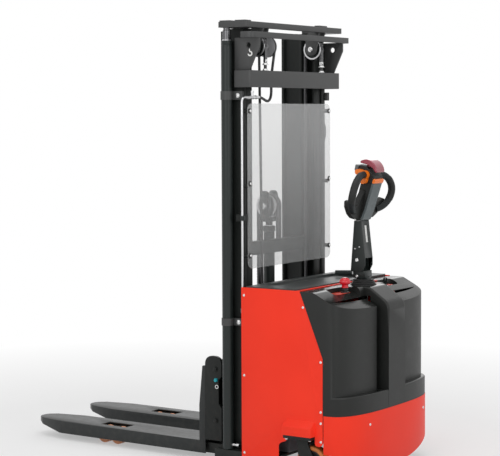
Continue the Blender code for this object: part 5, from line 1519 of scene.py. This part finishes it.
@dataclass
class RedSheetwork:
    """The two side panels with their caster hoods, the skirt and the strip behind the tray."""

    plan: BodyPlan
    sheet: float = 0.003
    skirt_bow: float = 0.1390

    def build(self) -> None:
        """Make the panels, the skirt and the strip, then screw them on."""
        for side, sign in SIDES:
            finish_copy(f"side_panel_{side}", 0.0011, RED, "chassis")
            self.panel_screws(side, sign)
        self.skirt()
        self.strip()

    def skirt(self) -> None:
        """The sheet that wraps the rear, arched over the drive wheel."""
        low, high = near("rear_skirt")
        sheet = self.sheet
        outer = self.plan.bow(0.0, self.skirt_bow)
        inner = self.plan.bow(sheet, self.skirt_bow - sheet)
        piece = slab("skirt", outer + inner[::-1], Facing.XY, (low.z, high.z))
        across = [0.42 * step / 32 for step in range(-32, 33)]
        arch = [(-0.5, -0.1)] + [(x, 0.040 + 0.048 * (x / 0.3) ** 2) for x in across] + [(0.5, -0.1)]
        cut(piece, slab("arch", arch, Facing.XZ, (0.3, 0.8)))
        eased(outwards(piece), 0.0010, 2, 50.0)
        fit(piece, RED, "chassis", ["rear_skirt"])
        power = self.plan.power
        for number, (x, z) in enumerate(((0.225, 0.240), (-0.280, 0.234)), start=1):
            share = abs(x) / self.plan.half_width
            y = self.plan.front + self.skirt_bow * (1 - share ** power) ** (1 / power)
            head = screw((x, y - 0.0014, z), Along.Y, 0.0062, 0.0042)
            fit(head, BOLT, "chassis", name=f"skirt_screw_{number}")

    def strip(self) -> None:
        """The red strip that closes the joint between the tray and the cover."""
        piece = block("deck_strip", (-0.1200, 0.2740, 0.8105), (0.3955, 0.2880, 0.8150), 0.0012)
        fit(piece, RED, "chassis")

    def panel_screws(self, side: str, sign: int) -> None:
        """Button-head screws along the panel's edges."""
        places = [(0.312, 0.746), (0.400, 0.518), (0.400, 0.305), (0.400, 0.257), (0.400, 0.178),
                  (0.010, 0.780),
                  (0.010, 0.430), (0.010, 0.090)]
        for number, (y, z) in enumerate(places, start=1):
            y = min(y, 0.3995)
            head = screw((sign * (self.plan.half_width - 0.0001), y, z), Along.X, 0.0058, 0.0034, 24, sign)
            fit(head, BOLT, "chassis", name=f"panel_screw_{side}_{number}")


@dataclass
class RearCover:
    """The moulded cover: two pods, a column between them, a ledge under both, and the controls' recesses."""

    plan: BodyPlan
    deck_z: float = 0.812
    column_x: float = 0.075
    groove: float = 0.040
    pod_bow: float = 0.100
    ledge_z: float = 0.372
    ledge_bow: float = 0.1375
    ledge_power: float = 2.9
    low: float = 0.2903
    rim: float = 0.008
    slant: tuple[tuple[float, float], tuple[float, float]] = ((0.296, 0.812), (0.410, 0.532))

    def build(self) -> None:
        """Form the shell, cut its recesses and dress it."""
        pods = [self.pod(sign) for _, sign in SIDES]
        cover = self.deck()
        weld(cover, [*pods, self.column(), self.ledge()])
        self.hollow(cover)
        smooth(outwards(cover), 38.0)
        fit(cover, COVER, "chassis", ["rear_cover"], name="moulded_cover")

    def side_view(self, rear: float) -> list[tuple[float, float]]:
        """The cover from the side: its slanted front edge, its flat deck and its sloping back."""
        (top_y, top_z), (foot_y, foot_z) = self.slant
        drop = (0.812 - 0.690) / (0.60 - 0.362)
        return rounded([(top_y, top_z, 0.0), (foot_y, foot_z, 0.004), (foot_y, self.low, 0.0),
                        (rear, self.low, 0.0), (rear, top_z - (rear - 0.362) * drop, 0.0),
                        (0.362, top_z, 0.05)], 10)

    def pod(self, sign: int) -> Solid:
        """One pod: the body's plan, cut by the side view, with its rim rounded."""
        outline = self.plan.bow(0.0, self.pod_bow, 64)
        plan = [(self.plan.half_width, 0.25)] + outline + [(-self.plan.half_width, 0.25)]
        piece = slab("pod", plan, Facing.XY, (self.low, 0.9))
        view = slab("view", self.side_view(0.62), Facing.YZ, (-0.5, 0.5))
        weld(piece, [view], "INTERSECT")
        inner = self.column_x + self.groove
        keep = slab("keep", [(sign * inner, 0.2), (sign * 0.6, 0.2), (sign * 0.6, 0.7), (sign * inner, 0.7)],
                    Facing.XY, (0.0, 1.0))
        weld(piece, [keep], "INTERSECT")
        outwards(piece)
        return self.rounded_rim(piece)

    def rounded_rim(self, piece: Solid) -> Solid:
        """Round the edges around a solid's top and its standing rear corners."""
        edit(piece)
        bpy.ops.mesh.dissolve_limited(angle_limit=math.radians(0.5))
        only(piece)
        weights = piece.data.attributes.new("bevel_weight_edge", "FLOAT", "EDGE")
        low_z = self.low + 0.01
        mesh = piece.data
        faces: dict[tuple[int, int], list[Vector]] = {}
        for polygon in mesh.polygons:
            for key in polygon.edge_keys:
                faces.setdefault(key, []).append(polygon.normal.copy())
        for edge in mesh.edges:
            normals = faces.get(tuple(sorted(edge.vertices)), [])
            first, second = (mesh.vertices[v].co for v in edge.vertices)
            if len(normals) < 2 or min(first.z, second.z) < low_z:
                continue
            sharp = normals[0].angle(normals[1]) > math.radians(28)
            front = max(first.y, second.y) < self.slant[1][0] + GUARD_PLANE + 0.002
            if sharp and not front:
                weights.data[edge.index].value = 1.0
        apply(piece, "BEVEL", width=self.rim, segments=5, limit_method="WEIGHT", use_clamp_overlap=True,
              miter_outer="MITER_ARC")
        return outwards(piece)

    def deck(self) -> Solid:
        """The block between the pods, in front of the column."""
        inner = self.column_x + self.groove + 0.0005
        top = self.deck_z
        view = [(self.slant[0][0], top), (self.slant[1][0], self.slant[1][1]), (self.slant[1][0], self.low),
                (0.452, self.low), (0.452, self.ledge_z), (0.428, 0.795), (0.4225, 0.806), (0.414, top)]
        return slab("deck", view, Facing.YZ, (-inner, inner))

    def column(self) -> Solid:
        """The column that stands between the pods, rounded at its shoulders."""
        view = rounded([(0.380, self.low, 0.0), (0.5497, self.low, 0.0), (0.5497, 0.745, 0.055),
                        (0.452, self.deck_z, 0.045), (0.380, self.deck_z, 0.0)], 10)
        piece = slab("column", view, Facing.YZ, (-self.column_x, self.column_x))
        return self.rounded_rim(piece)

    def ledge(self) -> Solid:
        """The wider band along the cover's foot."""
        plan = BodyPlan(power=self.ledge_power)
        piece = slab("ledge", plan.bow(0.001, self.ledge_bow, 64), Facing.XY, (self.low, self.ledge_z))
        return self.rounded_rim(piece)

    def hollow(self, cover: Solid) -> None:
        """Empty the shell, and cut the recesses and the holes for the controls."""
        wall, half = 0.006, self.plan.half_width
        plan = [(half - wall, 0.20)] + self.plan.bow(wall, 0.046, 32) + [(-half + wall, 0.20)]
        tools = [slab("room", plan, Facing.XY, (self.low - 0.02, 0.772))]
        for _, sign in SIDES:
            inner = self.column_x + self.groove + wall
            pod = slab("pod_room", self.plan.bow(wall, self.pod_bow - 0.007, 32), Facing.XY,
                       (self.low - 0.01, 0.700))
            keep = slab("keep", [(sign * inner, 0.2), (sign * 0.6, 0.2), (sign * 0.6, 0.7),
                                 (sign * inner, 0.7)], Facing.XY, (0.0, 1.0))
            tools.append(weld(pod, [keep], "INTERSECT"))
            near_x, far_x = sign * 0.141, sign * 0.286
            corners = [(near_x, 0.347, 0.022), (far_x, 0.347, 0.022), (far_x, 0.403, 0.020),
                       (near_x, 0.403, 0.020)]
            tools.append(slab("recess", rounded(corners), Facing.XY, (0.7853, 0.9)))
        tools.append(block("drive_room", (-self.column_x + wall, 0.40, self.low - 0.01),
                           (self.column_x - wall, 0.541, 0.700), 0.0))
        for x, y, r in ((0.0, 0.380, 0.0335), (0.170, 0.385, 0.0108), (-0.191, 0.385, 0.0078)):
            tools.append(rod("hole", (x, y, 0.74), (x, y, 0.9), r, 40))
        cut(cover, *tools)


@dataclass
class TopTray:
    """The tray between the mast and the cover, with its handle."""

    wall: float = 0.3954

    def build(self) -> None:
        """Press the dish into the tray and round its rim."""
        low, high = near("top_tray")
        outline = pane((-self.wall, low.y), (self.wall, 0.2735), 0.004, 4)
        tray = slab("deck_tray", outline, Facing.XY, (low.z, high.z))
        dish = slab("dish", pane((-0.300, 0.050), (0.300, 0.240), 0.03, 8), Facing.XY,
                    (high.z - 0.012, high.z + 0.01), 0.0)
        cut(tray, dish)
        eased(outwards(tray), 0.0030, 4, 50.0)
        fit(tray, TRAY, "chassis", ["top_tray"])
        first, second = Vector((-0.250, 0.085)), Vector((-0.291, 0.153))
        across = (second - first).normalized().orthogonal() * 0.011
        corners = [(*(place + way * across), 0.008) for place,
                   way in ((first, -1), (second, -1), (second, 1), (first, 1))]
        handle = slab("tray_handle", rounded(corners), Facing.XY, (high.z - 0.001, high.z + 0.019), 0.004, 3)
        fit(handle, CYLINDER, "chassis")
        block_low, block_high = (-0.153, 0.337, 0.8115), (-0.134, 0.366, 0.8180)
        fit(block("deck_catch", block_low, block_high, 0.0015), STOP_PLATE, "chassis")


@dataclass
class Controls:
    """The emergency stop and the key in their recesses, and the lamp beside the stop."""

    floor_z: float = 0.785
    stop: tuple[float, float] = (0.170, 0.385)
    lock: tuple[float, float] = (-0.191, 0.385)

    def build(self) -> None:
        """Dress both recesses."""
        self.plates()
        self.emergency_stop()
        self.key()

    def plates(self) -> None:
        """The red plate round the stop, the key's collar and the small lamps."""
        x, y = self.stop
        z = self.floor_z + 0.0004
        outer = slab("stop_plate", pane((0.144, 0.351), (0.244, 0.400), 0.012), Facing.XY, (z, z + 0.0075))
        cut(outer, rod("hole", (x, y, 0.7), (x, y, 0.9), 0.0112, 32))
        fit(eased(outwards(outer), 0.0015), STOP_PLATE, "chassis")
        lamp = turned("lamp_ring", [(0.0, 0.0), (0.0075, 0.0), (0.0075, 0.0035), (0.0055, 0.0048),
                                    (0.0, 0.0052)], (0.264, 0.377, z), Along.Z, 32)
        fit(lamp, SIGN, "chassis")
        ring = turned("key_collar", [(0.0079, 0.0), (0.0150, 0.0), (0.0150, 0.003), (0.0128, 0.0050),
                                     (0.0079, 0.0050), (0.0079, 0.0)], (*self.lock, z), Along.Z, 40)
        fit(ring, ZINC, "chassis")
        tab = slab("key_tab", pane((-0.240, 0.362), (-0.216, 0.399), 0.006), Facing.XY, (z, z + 0.006), 0.001)
        fit(tab, STOP_PLATE, "chassis")

    def emergency_stop(self) -> None:
        """A mushroom head with a finger-friendly skirt on a waisted stem."""
        low, _ = near("emergency_stop")
        x, y = self.stop
        crown = [(0.0, 0.8580), (0.0060, 0.8577), (0.0120, 0.8562), (0.0175, 0.8532), (0.0215, 0.8490),
                 (0.0240, 0.8440), (0.0247, 0.8395), (0.0244, 0.8350), (0.0228, 0.8318), (0.0200, 0.8300),
                 (0.0160, 0.8290), (0.0142, 0.8250), (0.0152, 0.8140), (0.0, 0.8140)]
        head = turned("stop_mushroom", crown, (x, y, 0.0), Along.Z, 56)
        fit(head, STOP, "emergency_stop", ["emergency_stop"])
        neck = turned("stop_neck", [(0.0, 0.8138), (0.0126, 0.8138), (0.0112, 0.8110), (0.0130, 0.8070),
                                    (0.0152, 0.8040), (0.0100, 0.8040), (0.0100, low.z), (0.0, low.z)],
                      (x, y, 0.0), Along.Z, 48)
        fit(neck, BEZEL, "emergency_stop")
        ring = turned("stop_collar", [(0.0113, 0.7930), (0.0190, 0.7930), (0.0180, 0.7965), (0.0113, 0.7975),
                                      (0.0113, 0.7930)], (x, y, 0.0), Along.Z, 48)
        fit(ring, BEZEL, "chassis")

    def key(self) -> None:
        """A key with a rounded bow and a hole for its ring."""
        x, y = self.lock
        low, _ = near("key_switch")
        barrel = turned("barrel", [(0.0, low.z), (0.0068, low.z), (0.0068, 0.7965), (0.0060, 0.7975),
                                   (0.0, 0.7975)], (x, y, 0.0), Along.Z, 32)
        bow = slab("bow", rounded([(y - 0.0045, 0.7970, 0.0), (y + 0.0045, 0.7970, 0.0),
                                   (y + 0.0045, 0.8030, 0.001),
                                   (y + 0.0110, 0.8060, 0.004), (y + 0.0110, 0.8268, 0.008),
                                   (y - 0.0110, 0.8268, 0.008), (y - 0.0110, 0.8060, 0.004),
                                   (y - 0.0045, 0.8030, 0.001)]), Facing.YZ, (x - 0.0017, x + 0.0017), 0.0)
        cut(bow, rod("hole", (x - 0.02, y, 0.8195), (x + 0.02, y, 0.8195), 0.0032, 24))
        eased(outwards(bow), 0.0005)
        fit(gather("starter_key", [barrel, bow]), CYLINDER, "key_switch", ["key_switch"])


# ---- chassis and running gear ---------------------------------------------------------------

@dataclass
class Chassis:
    """The frame, battery, power unit, and the bolts that show from outside."""

    def build(self) -> None:
        """Refine the frame and dress what stands in it."""
        finish_copy("chassis_frame", 0.0014, BLACK, "chassis")
        finish_copy("battery", 0.004, BATTERY, "chassis", "battery_case")
        self.battery_caps()
        finish_copy("hydraulic_power_unit", 0.0016, CYLINDER, "chassis", "power_unit_case")
        self.power_unit_fittings()
        for side, sign in SIDES:
            for number, y in enumerate((0.243, 0.352), start=1):
                bolt = hexagon((sign * 0.4230 if y < 0.3 else sign * 0.410, y, 0.1838), Along.Z, 0.0068,
                               0.006, -1)
                fit(bolt, BOLT, "chassis", name=f"shelf_bolt_{side}_{number}")
        self.low_fitting()
        self.carriage_plug()

    def battery_caps(self) -> None:
        """Filler caps along the battery's top and its two lifting eyes."""
        _, high = near("battery")
        cap = turned("cap", [(0.0, 0.0), (0.014, 0.0), (0.014, 0.006), (0.011, 0.009), (0.0, 0.009)],
                     (0.0, 0.0, high.z + 0.0002), Along.Z, 20)
        caps = [copy_of(cap, (x / 1000, 0.105, 0.0)) for x in range(-240, 241, 80)]
        spent(cap)
        fit(gather("battery_caps", caps), STOP_PLATE, "chassis")

    def power_unit_fittings(self) -> None:
        """The motor's end cap and the pump's pressure outlet."""
        cap = turned("end_cap", [(0.0, 0.0), (0.050, 0.0), (0.050, 0.006), (0.044, 0.012), (0.012, 0.014),
                                 (0.0, 0.014)], (0.225, 0.280, 0.6503), Along.Z, 40)
        outlet = turned("outlet", [(0.0, 0.0), (0.010, 0.0), (0.010, 0.012), (0.007, 0.012), (0.007, 0.030),
                                   (0.0, 0.030)], (0.160, 0.240, 0.4803), Along.Z, 24)
        fit(gather("power_unit_fittings", [cap, outlet]), ZINC, "chassis")

    def low_fitting(self) -> None:
        """The banjo fitting at the left cylinder's foot."""
        x, y, z = 0.378, -0.0655, 0.111
        body = turned("body", [(0.0, -0.004), (0.0080, -0.004), (0.0080, 0.012), (0.0062, 0.013),
                               (0.0062, 0.022), (0.0090, 0.022), (0.0090, 0.034), (0.0, 0.034)], (x, y, z),
                      Along.Y, 6)
        for side, sign in SIDES:
            piece = copy_of(body) if sign > 0 else mirrored(body, "fitting")
            fit(piece, BOLT, "chassis", name=f"cylinder_fitting_{side}")
        spent(body)

    def carriage_plug(self) -> None:
        """The teal plug with its ring on the left ear of the carriage."""
        x, y, z = 0.2812, -0.221, 0.371
        cap = turned("cap", [(0.0, 0.0), (0.009, 0.0), (0.009, 0.008), (0.007, 0.011), (0.0, 0.011)],
                     (x, y, z), Along.X, 28)
        fit(cap, TEAL, "carriage", name="grease_plug")
        ring = turned("grease_ring", [(0.006, 0.0), (0.0092, 0.0), (0.0092, 0.004), (0.006, 0.004),
                                      (0.006, 0.0)], (x, y + 0.004, z - 0.030), Along.X, 28)
        fit(ring, BOLT, "carriage")


@dataclass
class RunningGear:
    """The drive unit, its wheel and the two casters."""

    def build(self) -> None:
        """Dress the drive unit and turn the wheels."""
        finish_copy("drive_unit", 0.0015, CYLINDER, "steering", "drive_housing")
        self.drive_wheel()
        for side, sign in SIDES:
            finish_copy(f"caster_fork_{side}", 0.0018, BLACK, f"caster_fork_{side}",
                        f"caster_frame_{side}")
            self.caster_wheel(side, sign)

    def wheel(self, name: str, centre: Point, radius: float, half: float, bore: float, rim: float, body: str,
              node: str, steps: int) -> None:
        """A tyre with rounded shoulders on a dark core with a dished face.

        Args:
            name: of the wheel.
            centre: with Y from the guard.
            radius: over the tread.
            half: half of its width.
            bore: radius of the hole at its middle.
            rim: radius where the tyre meets the core.
            body: that it turns with.
            node: that it replaces.
            steps: faces round it.
        """
        profile = tyre_profile([(rim + 0.0002, half - 0.004), (rim + 0.004, half)], radius, half, 0.007, 15)
        fit(turned(f"{name}_tyre", profile, centre, Along.X, steps), TREAD, body, [node])
        dish = half - 0.010
        core = [(bore, half), (bore + 0.010, half), (bore + 0.012, dish), (rim - 0.012, dish),
                (rim - 0.004, half - 0.003),
                (rim, half - 0.004)]
        fit(turned(f"{name}_core", both_halves(core), centre, Along.X, steps), HUB, body)

    def drive_wheel(self) -> None:
        """The steered drive wheel."""
        low, high = near("drive_wheel")
        half, radius = (high.x - low.x) / 2, (high.z - low.z) / 2
        self.wheel("drive", (0.0, 0.380, radius), radius, half, 0.0303, 0.088, "drive_wheel", "drive_wheel",
                   72)
        nuts = []
        for step in range(5):
            a = math.tau * step / 5 + 0.3
            nuts.append(hexagon((half - 0.0102, 0.380 + 0.058 * math.cos(a), radius + 0.058 * math.sin(a)),
                                Along.X, 0.008, 0.008))
        fit(gather("drive_wheel_nuts", nuts), BOLT, "drive_wheel")

    def caster_wheel(self, side: str, sign: int) -> None:
        """A caster's wheel with its axle's nut."""
        node = f"caster_wheel_{side}"
        low, high = near(node)
        centre = (sign * 0.355, (low.y + high.y) / 2, (low.z + high.z) / 2)
        radius, half = (high.z - low.z) / 2, 0.0228
        self.wheel(f"caster_{side}", centre, radius, half, 0.0064, 0.056, node, node, 56)
        outer = half + 0.0101
        for way in (1, -1):
            nut = hexagon((centre[0] + way * outer, centre[1], centre[2]), Along.X, 0.010, 0.008, way)
            fit(nut, BOLT, f"caster_fork_{side}",
                name=f"caster_nut_{side}_{'out' if way * sign > 0 else 'in'}")


# ---- tiller ---------------------------------------------------------------------------------

@dataclass
class TillerHead:
    """The head: spine, wings, grip loops, collars, buttons, butterflies and the belly button."""

    lean: float = math.radians(13)
    foot_y: float = 0.372
    foot_z: float = 1.0970
    grip_r: float = 0.0155
    grip_v: float = -0.005
    grip_w: float = 0.207
    sweep: float = 0.030
    cap_depth: float = 0.0170

    def place(self, piece: Solid) -> Solid:
        """Lean a piece that was drawn upright about the head's foot."""
        return leaned(piece, -self.lean, at(0.0, self.foot_y, self.foot_z))

    def dress(self, piece: Solid, finish: Finish = HEAD_DARK, name: str | None = None) -> None:
        """Lean a piece of the head and give it its finish."""
        fit(self.place(piece), finish, "tiller", name=name)

    def up(self, v: float, w: float) -> tuple[float, float]:
        """Upright (y, z) of a place in the head."""
        return self.foot_y + v, self.foot_z + w

    def moulding(self, name: str, corners: Sequence[Point], half: float, ease: float, segments: int,
                 steps: int = 8) -> Solid:
        """A moulding with the same side view all across, still upright.

        Args:
            name: of the new object.
            corners: (v, w, radius) corners of its side view.
            half: half of its width.
            ease: radius of its edges.
            segments: steps across each edge.
            steps: edges round each corner.

        Returns:
            The moulding.
        """
        view = [self.up(v, w) for v, w in rounded(corners, steps)]
        return eased(slab(name, view, Facing.YZ, (-half, half)), ease, segments, 40.0)

    def build(self) -> None:
        """Make each moulding in turn."""
        self.spine()
        self.wings()
        self.grips()
        self.housing()
        self.collar()
        self.buttons()
        self.belly_button()
        for side, sign in SIDES:
            self.butterfly(side, sign)

    def spine(self) -> None:
        """The slate moulding that runs up the middle, and its foot on the arm."""
        body = self.moulding("spine", [(-0.026, 0.004, 0.010), (0.020, 0.004, 0.010), (0.029, 0.060, 0.030),
                                       (0.040, 0.182, 0.002), (-0.022, 0.182, 0.002), (-0.028, 0.060, 0.030)],
                             0.0365, 0.0075, 5)
        self.place(body)
        foot = slab("foot", rounded([(0.353, 1.0964, 0.003), (0.391, 1.0964, 0.003), (0.395, 1.128, 0.006),
                                     (0.356, 1.134, 0.006)]), Facing.YZ, (-0.0338, 0.0338), 0.003, 3)
        weld(body, [foot])
        smooth(outwards(body), 40.0)
        fit(body, HEAD_DARK, "tiller", ["tiller_head"], "head_spine")
        panel = self.moulding("panel", [(0.010, 0.005, 0.004), (0.0225, 0.006, 0.008), (0.0318, 0.060, 0.030),
                                        (0.0428, 0.180, 0.002), (0.031, 0.180, 0.002), (0.020, 0.060, 0.020)],
                              0.0371, 0.004, 3)
        self.dress(panel, HEAD, "head_rear_panel")

    def wings(self) -> None:
        """The dark guards between the spine and the lower ends of the grips."""
        for side, sign in SIDES:
            corners = [(0.0345, 0.150, 0.004), (0.0345, 0.012, 0.008), (0.085, 0.010, 0.010),
                       (0.120, 0.030, 0.012), (0.152, 0.064, 0.014), (0.161, 0.092, 0.006),
                       (0.143, 0.096, 0.006), (0.082, 0.068, 0.020)]
            outline = [(sign * u, self.foot_z + w) for u, w in rounded(corners, 8)]
            wing = slab("wing", outline, Facing.XZ, (self.foot_y - 0.019, self.foot_y + 0.007), 0.0)
            eased(outwards(wing), 0.006, 4, 40.0)
            self.dress(wing, name=f"head_wing_{side}")

    def grips(self) -> None:
        """The two loops, each one smooth run from the housing round to the wing."""
        for side, sign in SIDES:
            run = [(0.030, 0.0, 0.207), (0.050, 0.0, 0.207), (0.068, 0.0, 0.2065)]
            run += [(0.078 + 0.096 * math.sin(a), self.sweep * math.sin(a), 0.126 + 0.081 * math.cos(a))
                    for a in angles(8, 169, 8)]
            points = [(sign * x, self.foot_y + self.grip_v + v, self.foot_z + w) for x, v, w in run]
            grip = pipe(f"grip_{side}", points, self.grip_r, 9, smooth_run=True)
            self.dress(grip, GRIP)
            band = pipe(f"grip_sleeve_{side}", points[7:17], self.grip_r + 0.0010, 9, smooth_run=True)
            self.dress(band)

    def housing(self) -> None:
        """The cross housing that holds the grips, with a flat for the buttons."""
        box = self.moulding("housing", [(-0.046, 0.176, 0.009), (0.036, 0.176, 0.008), (0.041, 0.208, 0.014),
                                        (-0.010, 0.2425, 0.022), (-0.046, 0.2425, 0.010)], 0.0398, 0.004, 4,
                            10)
        well = rod("well", (0.0, self.foot_y - 0.016, self.foot_z + 0.190),
                   (0.0, self.foot_y - 0.016, self.foot_z + 0.27),
                   0.0125, 40)
        cut(box, well)
        smooth(outwards(box), 40.0)
        self.dress(box, name="head_housing")

    def collar(self) -> None:
        """The orange band across the back, under the housing."""
        band = self.moulding("collar", [(0.010, 0.180, 0.003), (0.0455, 0.178, 0.006), (0.0480, 0.198, 0.006),
                                        (0.012, 0.2035, 0.003)], 0.0395, 0.0022, 3)
        self.dress(band, ORANGE, "orange_band")

    def buttons(self) -> None:
        """The lift and horn buttons, each with a plain arrow or bar."""
        for node, sign in (("lift_button", 1), ("horn_button", -1)):
            x, z, rear = sign * 0.021, self.foot_z + 0.226, self.foot_y - 0.0493
            outline = pane((x - sign * 0.0178, z - 0.0135), (x + sign * 0.0178, z + 0.0135), 0.005)
            cap = slab("cap", outline, Facing.XZ, (rear - self.cap_depth, rear), 0.0022, 3)
            stem = rod("stem", (x, rear - 0.001, z),
                       (x, rear + 0.0035, z), 0.0050, 24)
            piece = gather(f"{node}_cap", [cap, stem])
            fit(self.place(piece), BUTTON, node, [node])
            mark = [(-0.006, -0.004), (0.006, -0.004), (0.0, 0.006)] if sign > 0 else \
                [(-0.006, -0.0016), (0.006, -0.0016), (0.006, 0.0016), (-0.006, 0.0016)]
            face = rear - self.cap_depth
            sign_piece = slab(f"{node}_mark", [(x + u, z + w) for u, w in mark],
                              Facing.XZ, (face - 0.0003, face + 0.0002))
            fit(self.place(sign_piece), SIGN, node)

    def belly_button(self) -> None:
        """The domed cap over the head, which stops the machine when it is pushed."""
        arcs = arc((-0.010, 0.2180), 0.0560, 20, 106, 20)
        corners = [(-0.047, 0.2515), (-0.006, 0.2515), (0.020, 0.2425), (0.0365, 0.2260), (0.0440, 0.2290),
                   *arcs,
                   (-0.040, 0.2650), (-0.047, 0.2600)]
        cap = slab("cap", [self.up(v, w) for v, w in corners], Facing.YZ, (-0.0365, 0.0365))
        eased(cap, 0.0085, 6, 44.0)
        stem = rod("stem", (0.0, self.foot_y - 0.016, self.foot_z + 0.216),
                   (0.0, self.foot_y - 0.016, self.foot_z + 0.254),
                   0.0118, 36)
        piece = gather("belly_cap", [cap, stem])
        fit(self.place(piece), LENS, "belly_button", ["belly_button"])

    def butterfly(self, side: str, sign: int) -> None:
        """One thumb throttle: a ring on the grip with a lobe up and a lobe down."""
        node = f"throttle_{side}"
        offsets = rounded([(-0.048, 0.012, 0.010), (-0.030, 0.020, 0.010), (-0.012, 0.019, 0.004),
                           (0.018, -0.006, 0.006),
                           (0.018, -0.030, 0.012), (-0.006, -0.048, 0.012), (-0.017, -0.012, 0.006),
                           (-0.044, -0.004, 0.008)], 8)
        v, w = self.grip_v, self.grip_w
        span = (sign * 0.0403, sign * 0.0583)
        lobe = slab("lobe", [self.up(v + u, w + h) for u, h in offsets], Facing.YZ, span)
        y, z = self.up(v, w)
        weld(lobe, [rod("ring", (span[0], y, z), (span[1], y, z), 0.0203, 56)])
        cut(lobe, rod("bore", (span[0] - 0.02 * sign, y, z), (span[1] + 0.02 * sign, y, z), 0.0164, 56))
        outwards(lobe)
        edit(lobe)
        bpy.ops.mesh.dissolve_limited(angle_limit=math.radians(0.5))
        only(lobe)
        eased(lobe, 0.0028, 4, 50.0)
        fit(self.place(lobe), ORANGE, node, [node], name=f"butterfly_{side}")


@dataclass
class Tiller:
    """The neck, its boot, the arm and the gas spring."""

    steer_y: float = 0.380

    def build(self) -> None:
        """Make the lower tiller, then its head."""
        finish_copy("tiller_neck", 0.0016, CYLINDER, "steering", "neck_casting")
        self.boot()
        finish_copy("tiller_arm", 0.0009, CYLINDER, "tiller", "arm_sheet")
        self.fasteners()
        self.gas_spring()
        self.connector()
        TillerHead().build()

    def boot(self) -> None:
        """A bellows round the neck."""
        foot, bore = near("tiller_boot")[0].z, 0.0332
        profile = [(bore, foot), (bore, foot + 0.0245), (0.0395, foot + 0.0255)]
        for ring in range(3):
            top = foot + 0.0240 - 0.0080 * ring
            middle = 0.0440 + 0.0040 * ring
            profile += [(middle + 0.0015, top - 0.0004), (middle + 0.0024, top - 0.0020),
                        (middle + 0.0015, top - 0.0038),
                        (middle - 0.0014, top - 0.0056), (middle - 0.0008, top - 0.0072)]
        profile += [(0.0570, foot + 0.0022), (0.0578, foot + 0.0012), (0.0578, foot), (bore, foot)]
        fit(turned("neck_boot", profile, (0.0, self.steer_y, 0.0), Along.Z, 64), RUBBER, "chassis",
            ["tiller_boot"])

    def fasteners(self) -> None:
        """Bolts through the arm's cheeks and the neck."""
        for side, sign in SIDES:
            for number, (y, z, r) in enumerate(((0.3665, 0.9220, 0.0085), (0.3567, 0.9723, 0.0032),
                                                (0.3791, 0.9808, 0.0032)), start=1):
                head = screw((sign * 0.03455, y, z), Along.X, r, 0.0042 if number == 1 else 0.0022, 24, sign)
                fit(head, BOLT if number == 1 else ZINC, "tiller", name=f"arm_screw_{side}_{number}")
            head = screw((sign * 0.0306, 0.3645, 0.8504), Along.X, 0.0062, 0.0035, 24, sign)
            fit(head, BOLT, "steering", name=f"neck_screw_{side}")

    def gas_spring(self) -> None:
        """The gas spring inside the arm's channel, carried by the arm."""
        body = rod("spring_body", (0.0125, 0.3815, 1.075), (0.0125, 0.3905, 0.968), 0.0085, 36, 0.0012)
        fit(body, CYLINDER, "tiller")
        stem = rod("spring_rod", (0.0125, 0.3906, 0.967), (0.0125, 0.3945, 0.938), 0.0035, 28)
        fit(stem, CHROME, "tiller")

    def connector(self) -> None:
        """The cable's white plug on the arm's left cheek."""
        plug = block("cable_plug", (0.0339, 0.3545, 1.0975), (0.0378, 0.3620, 1.1260), 0.0008)
        fit(plug, SIGN, "tiller")
        half = 0.0088
        strip = slab("arm_strip", [(0.3965, 1.0003), (0.3980, 1.0003), (0.3896, 1.0747), (0.3880, 1.0747)],
                     Facing.YZ, (-half, half))
        fit(strip, SIGN, "tiller")


# ---- everything in order --------------------------------------------------------------------


def main() -> None:
    """Build the sub-assemblies in order and report each."""
    logging.basicConfig(level=logging.INFO, format="%(name)s: %(message)s")
    cylinders = [LiftCylinder(side, sign) for side, sign in SIDES]
    stages = [Studio(), *cylinders, MastFrame(), LeafChains(), ChainWheels(), FreeLift(), Hydraulics(),
              ForkCarriage(), RedSheetwork(BodyPlan(power=2.9)), RearCover(BodyPlan()), TopTray(), Controls(),
              Chassis(), RunningGear(), Tiller()]
    for stage in stages:
        stage.build()
        LOG.info("%s is finished", type(stage).__name__)


if __name__ == "__main__":
    main()
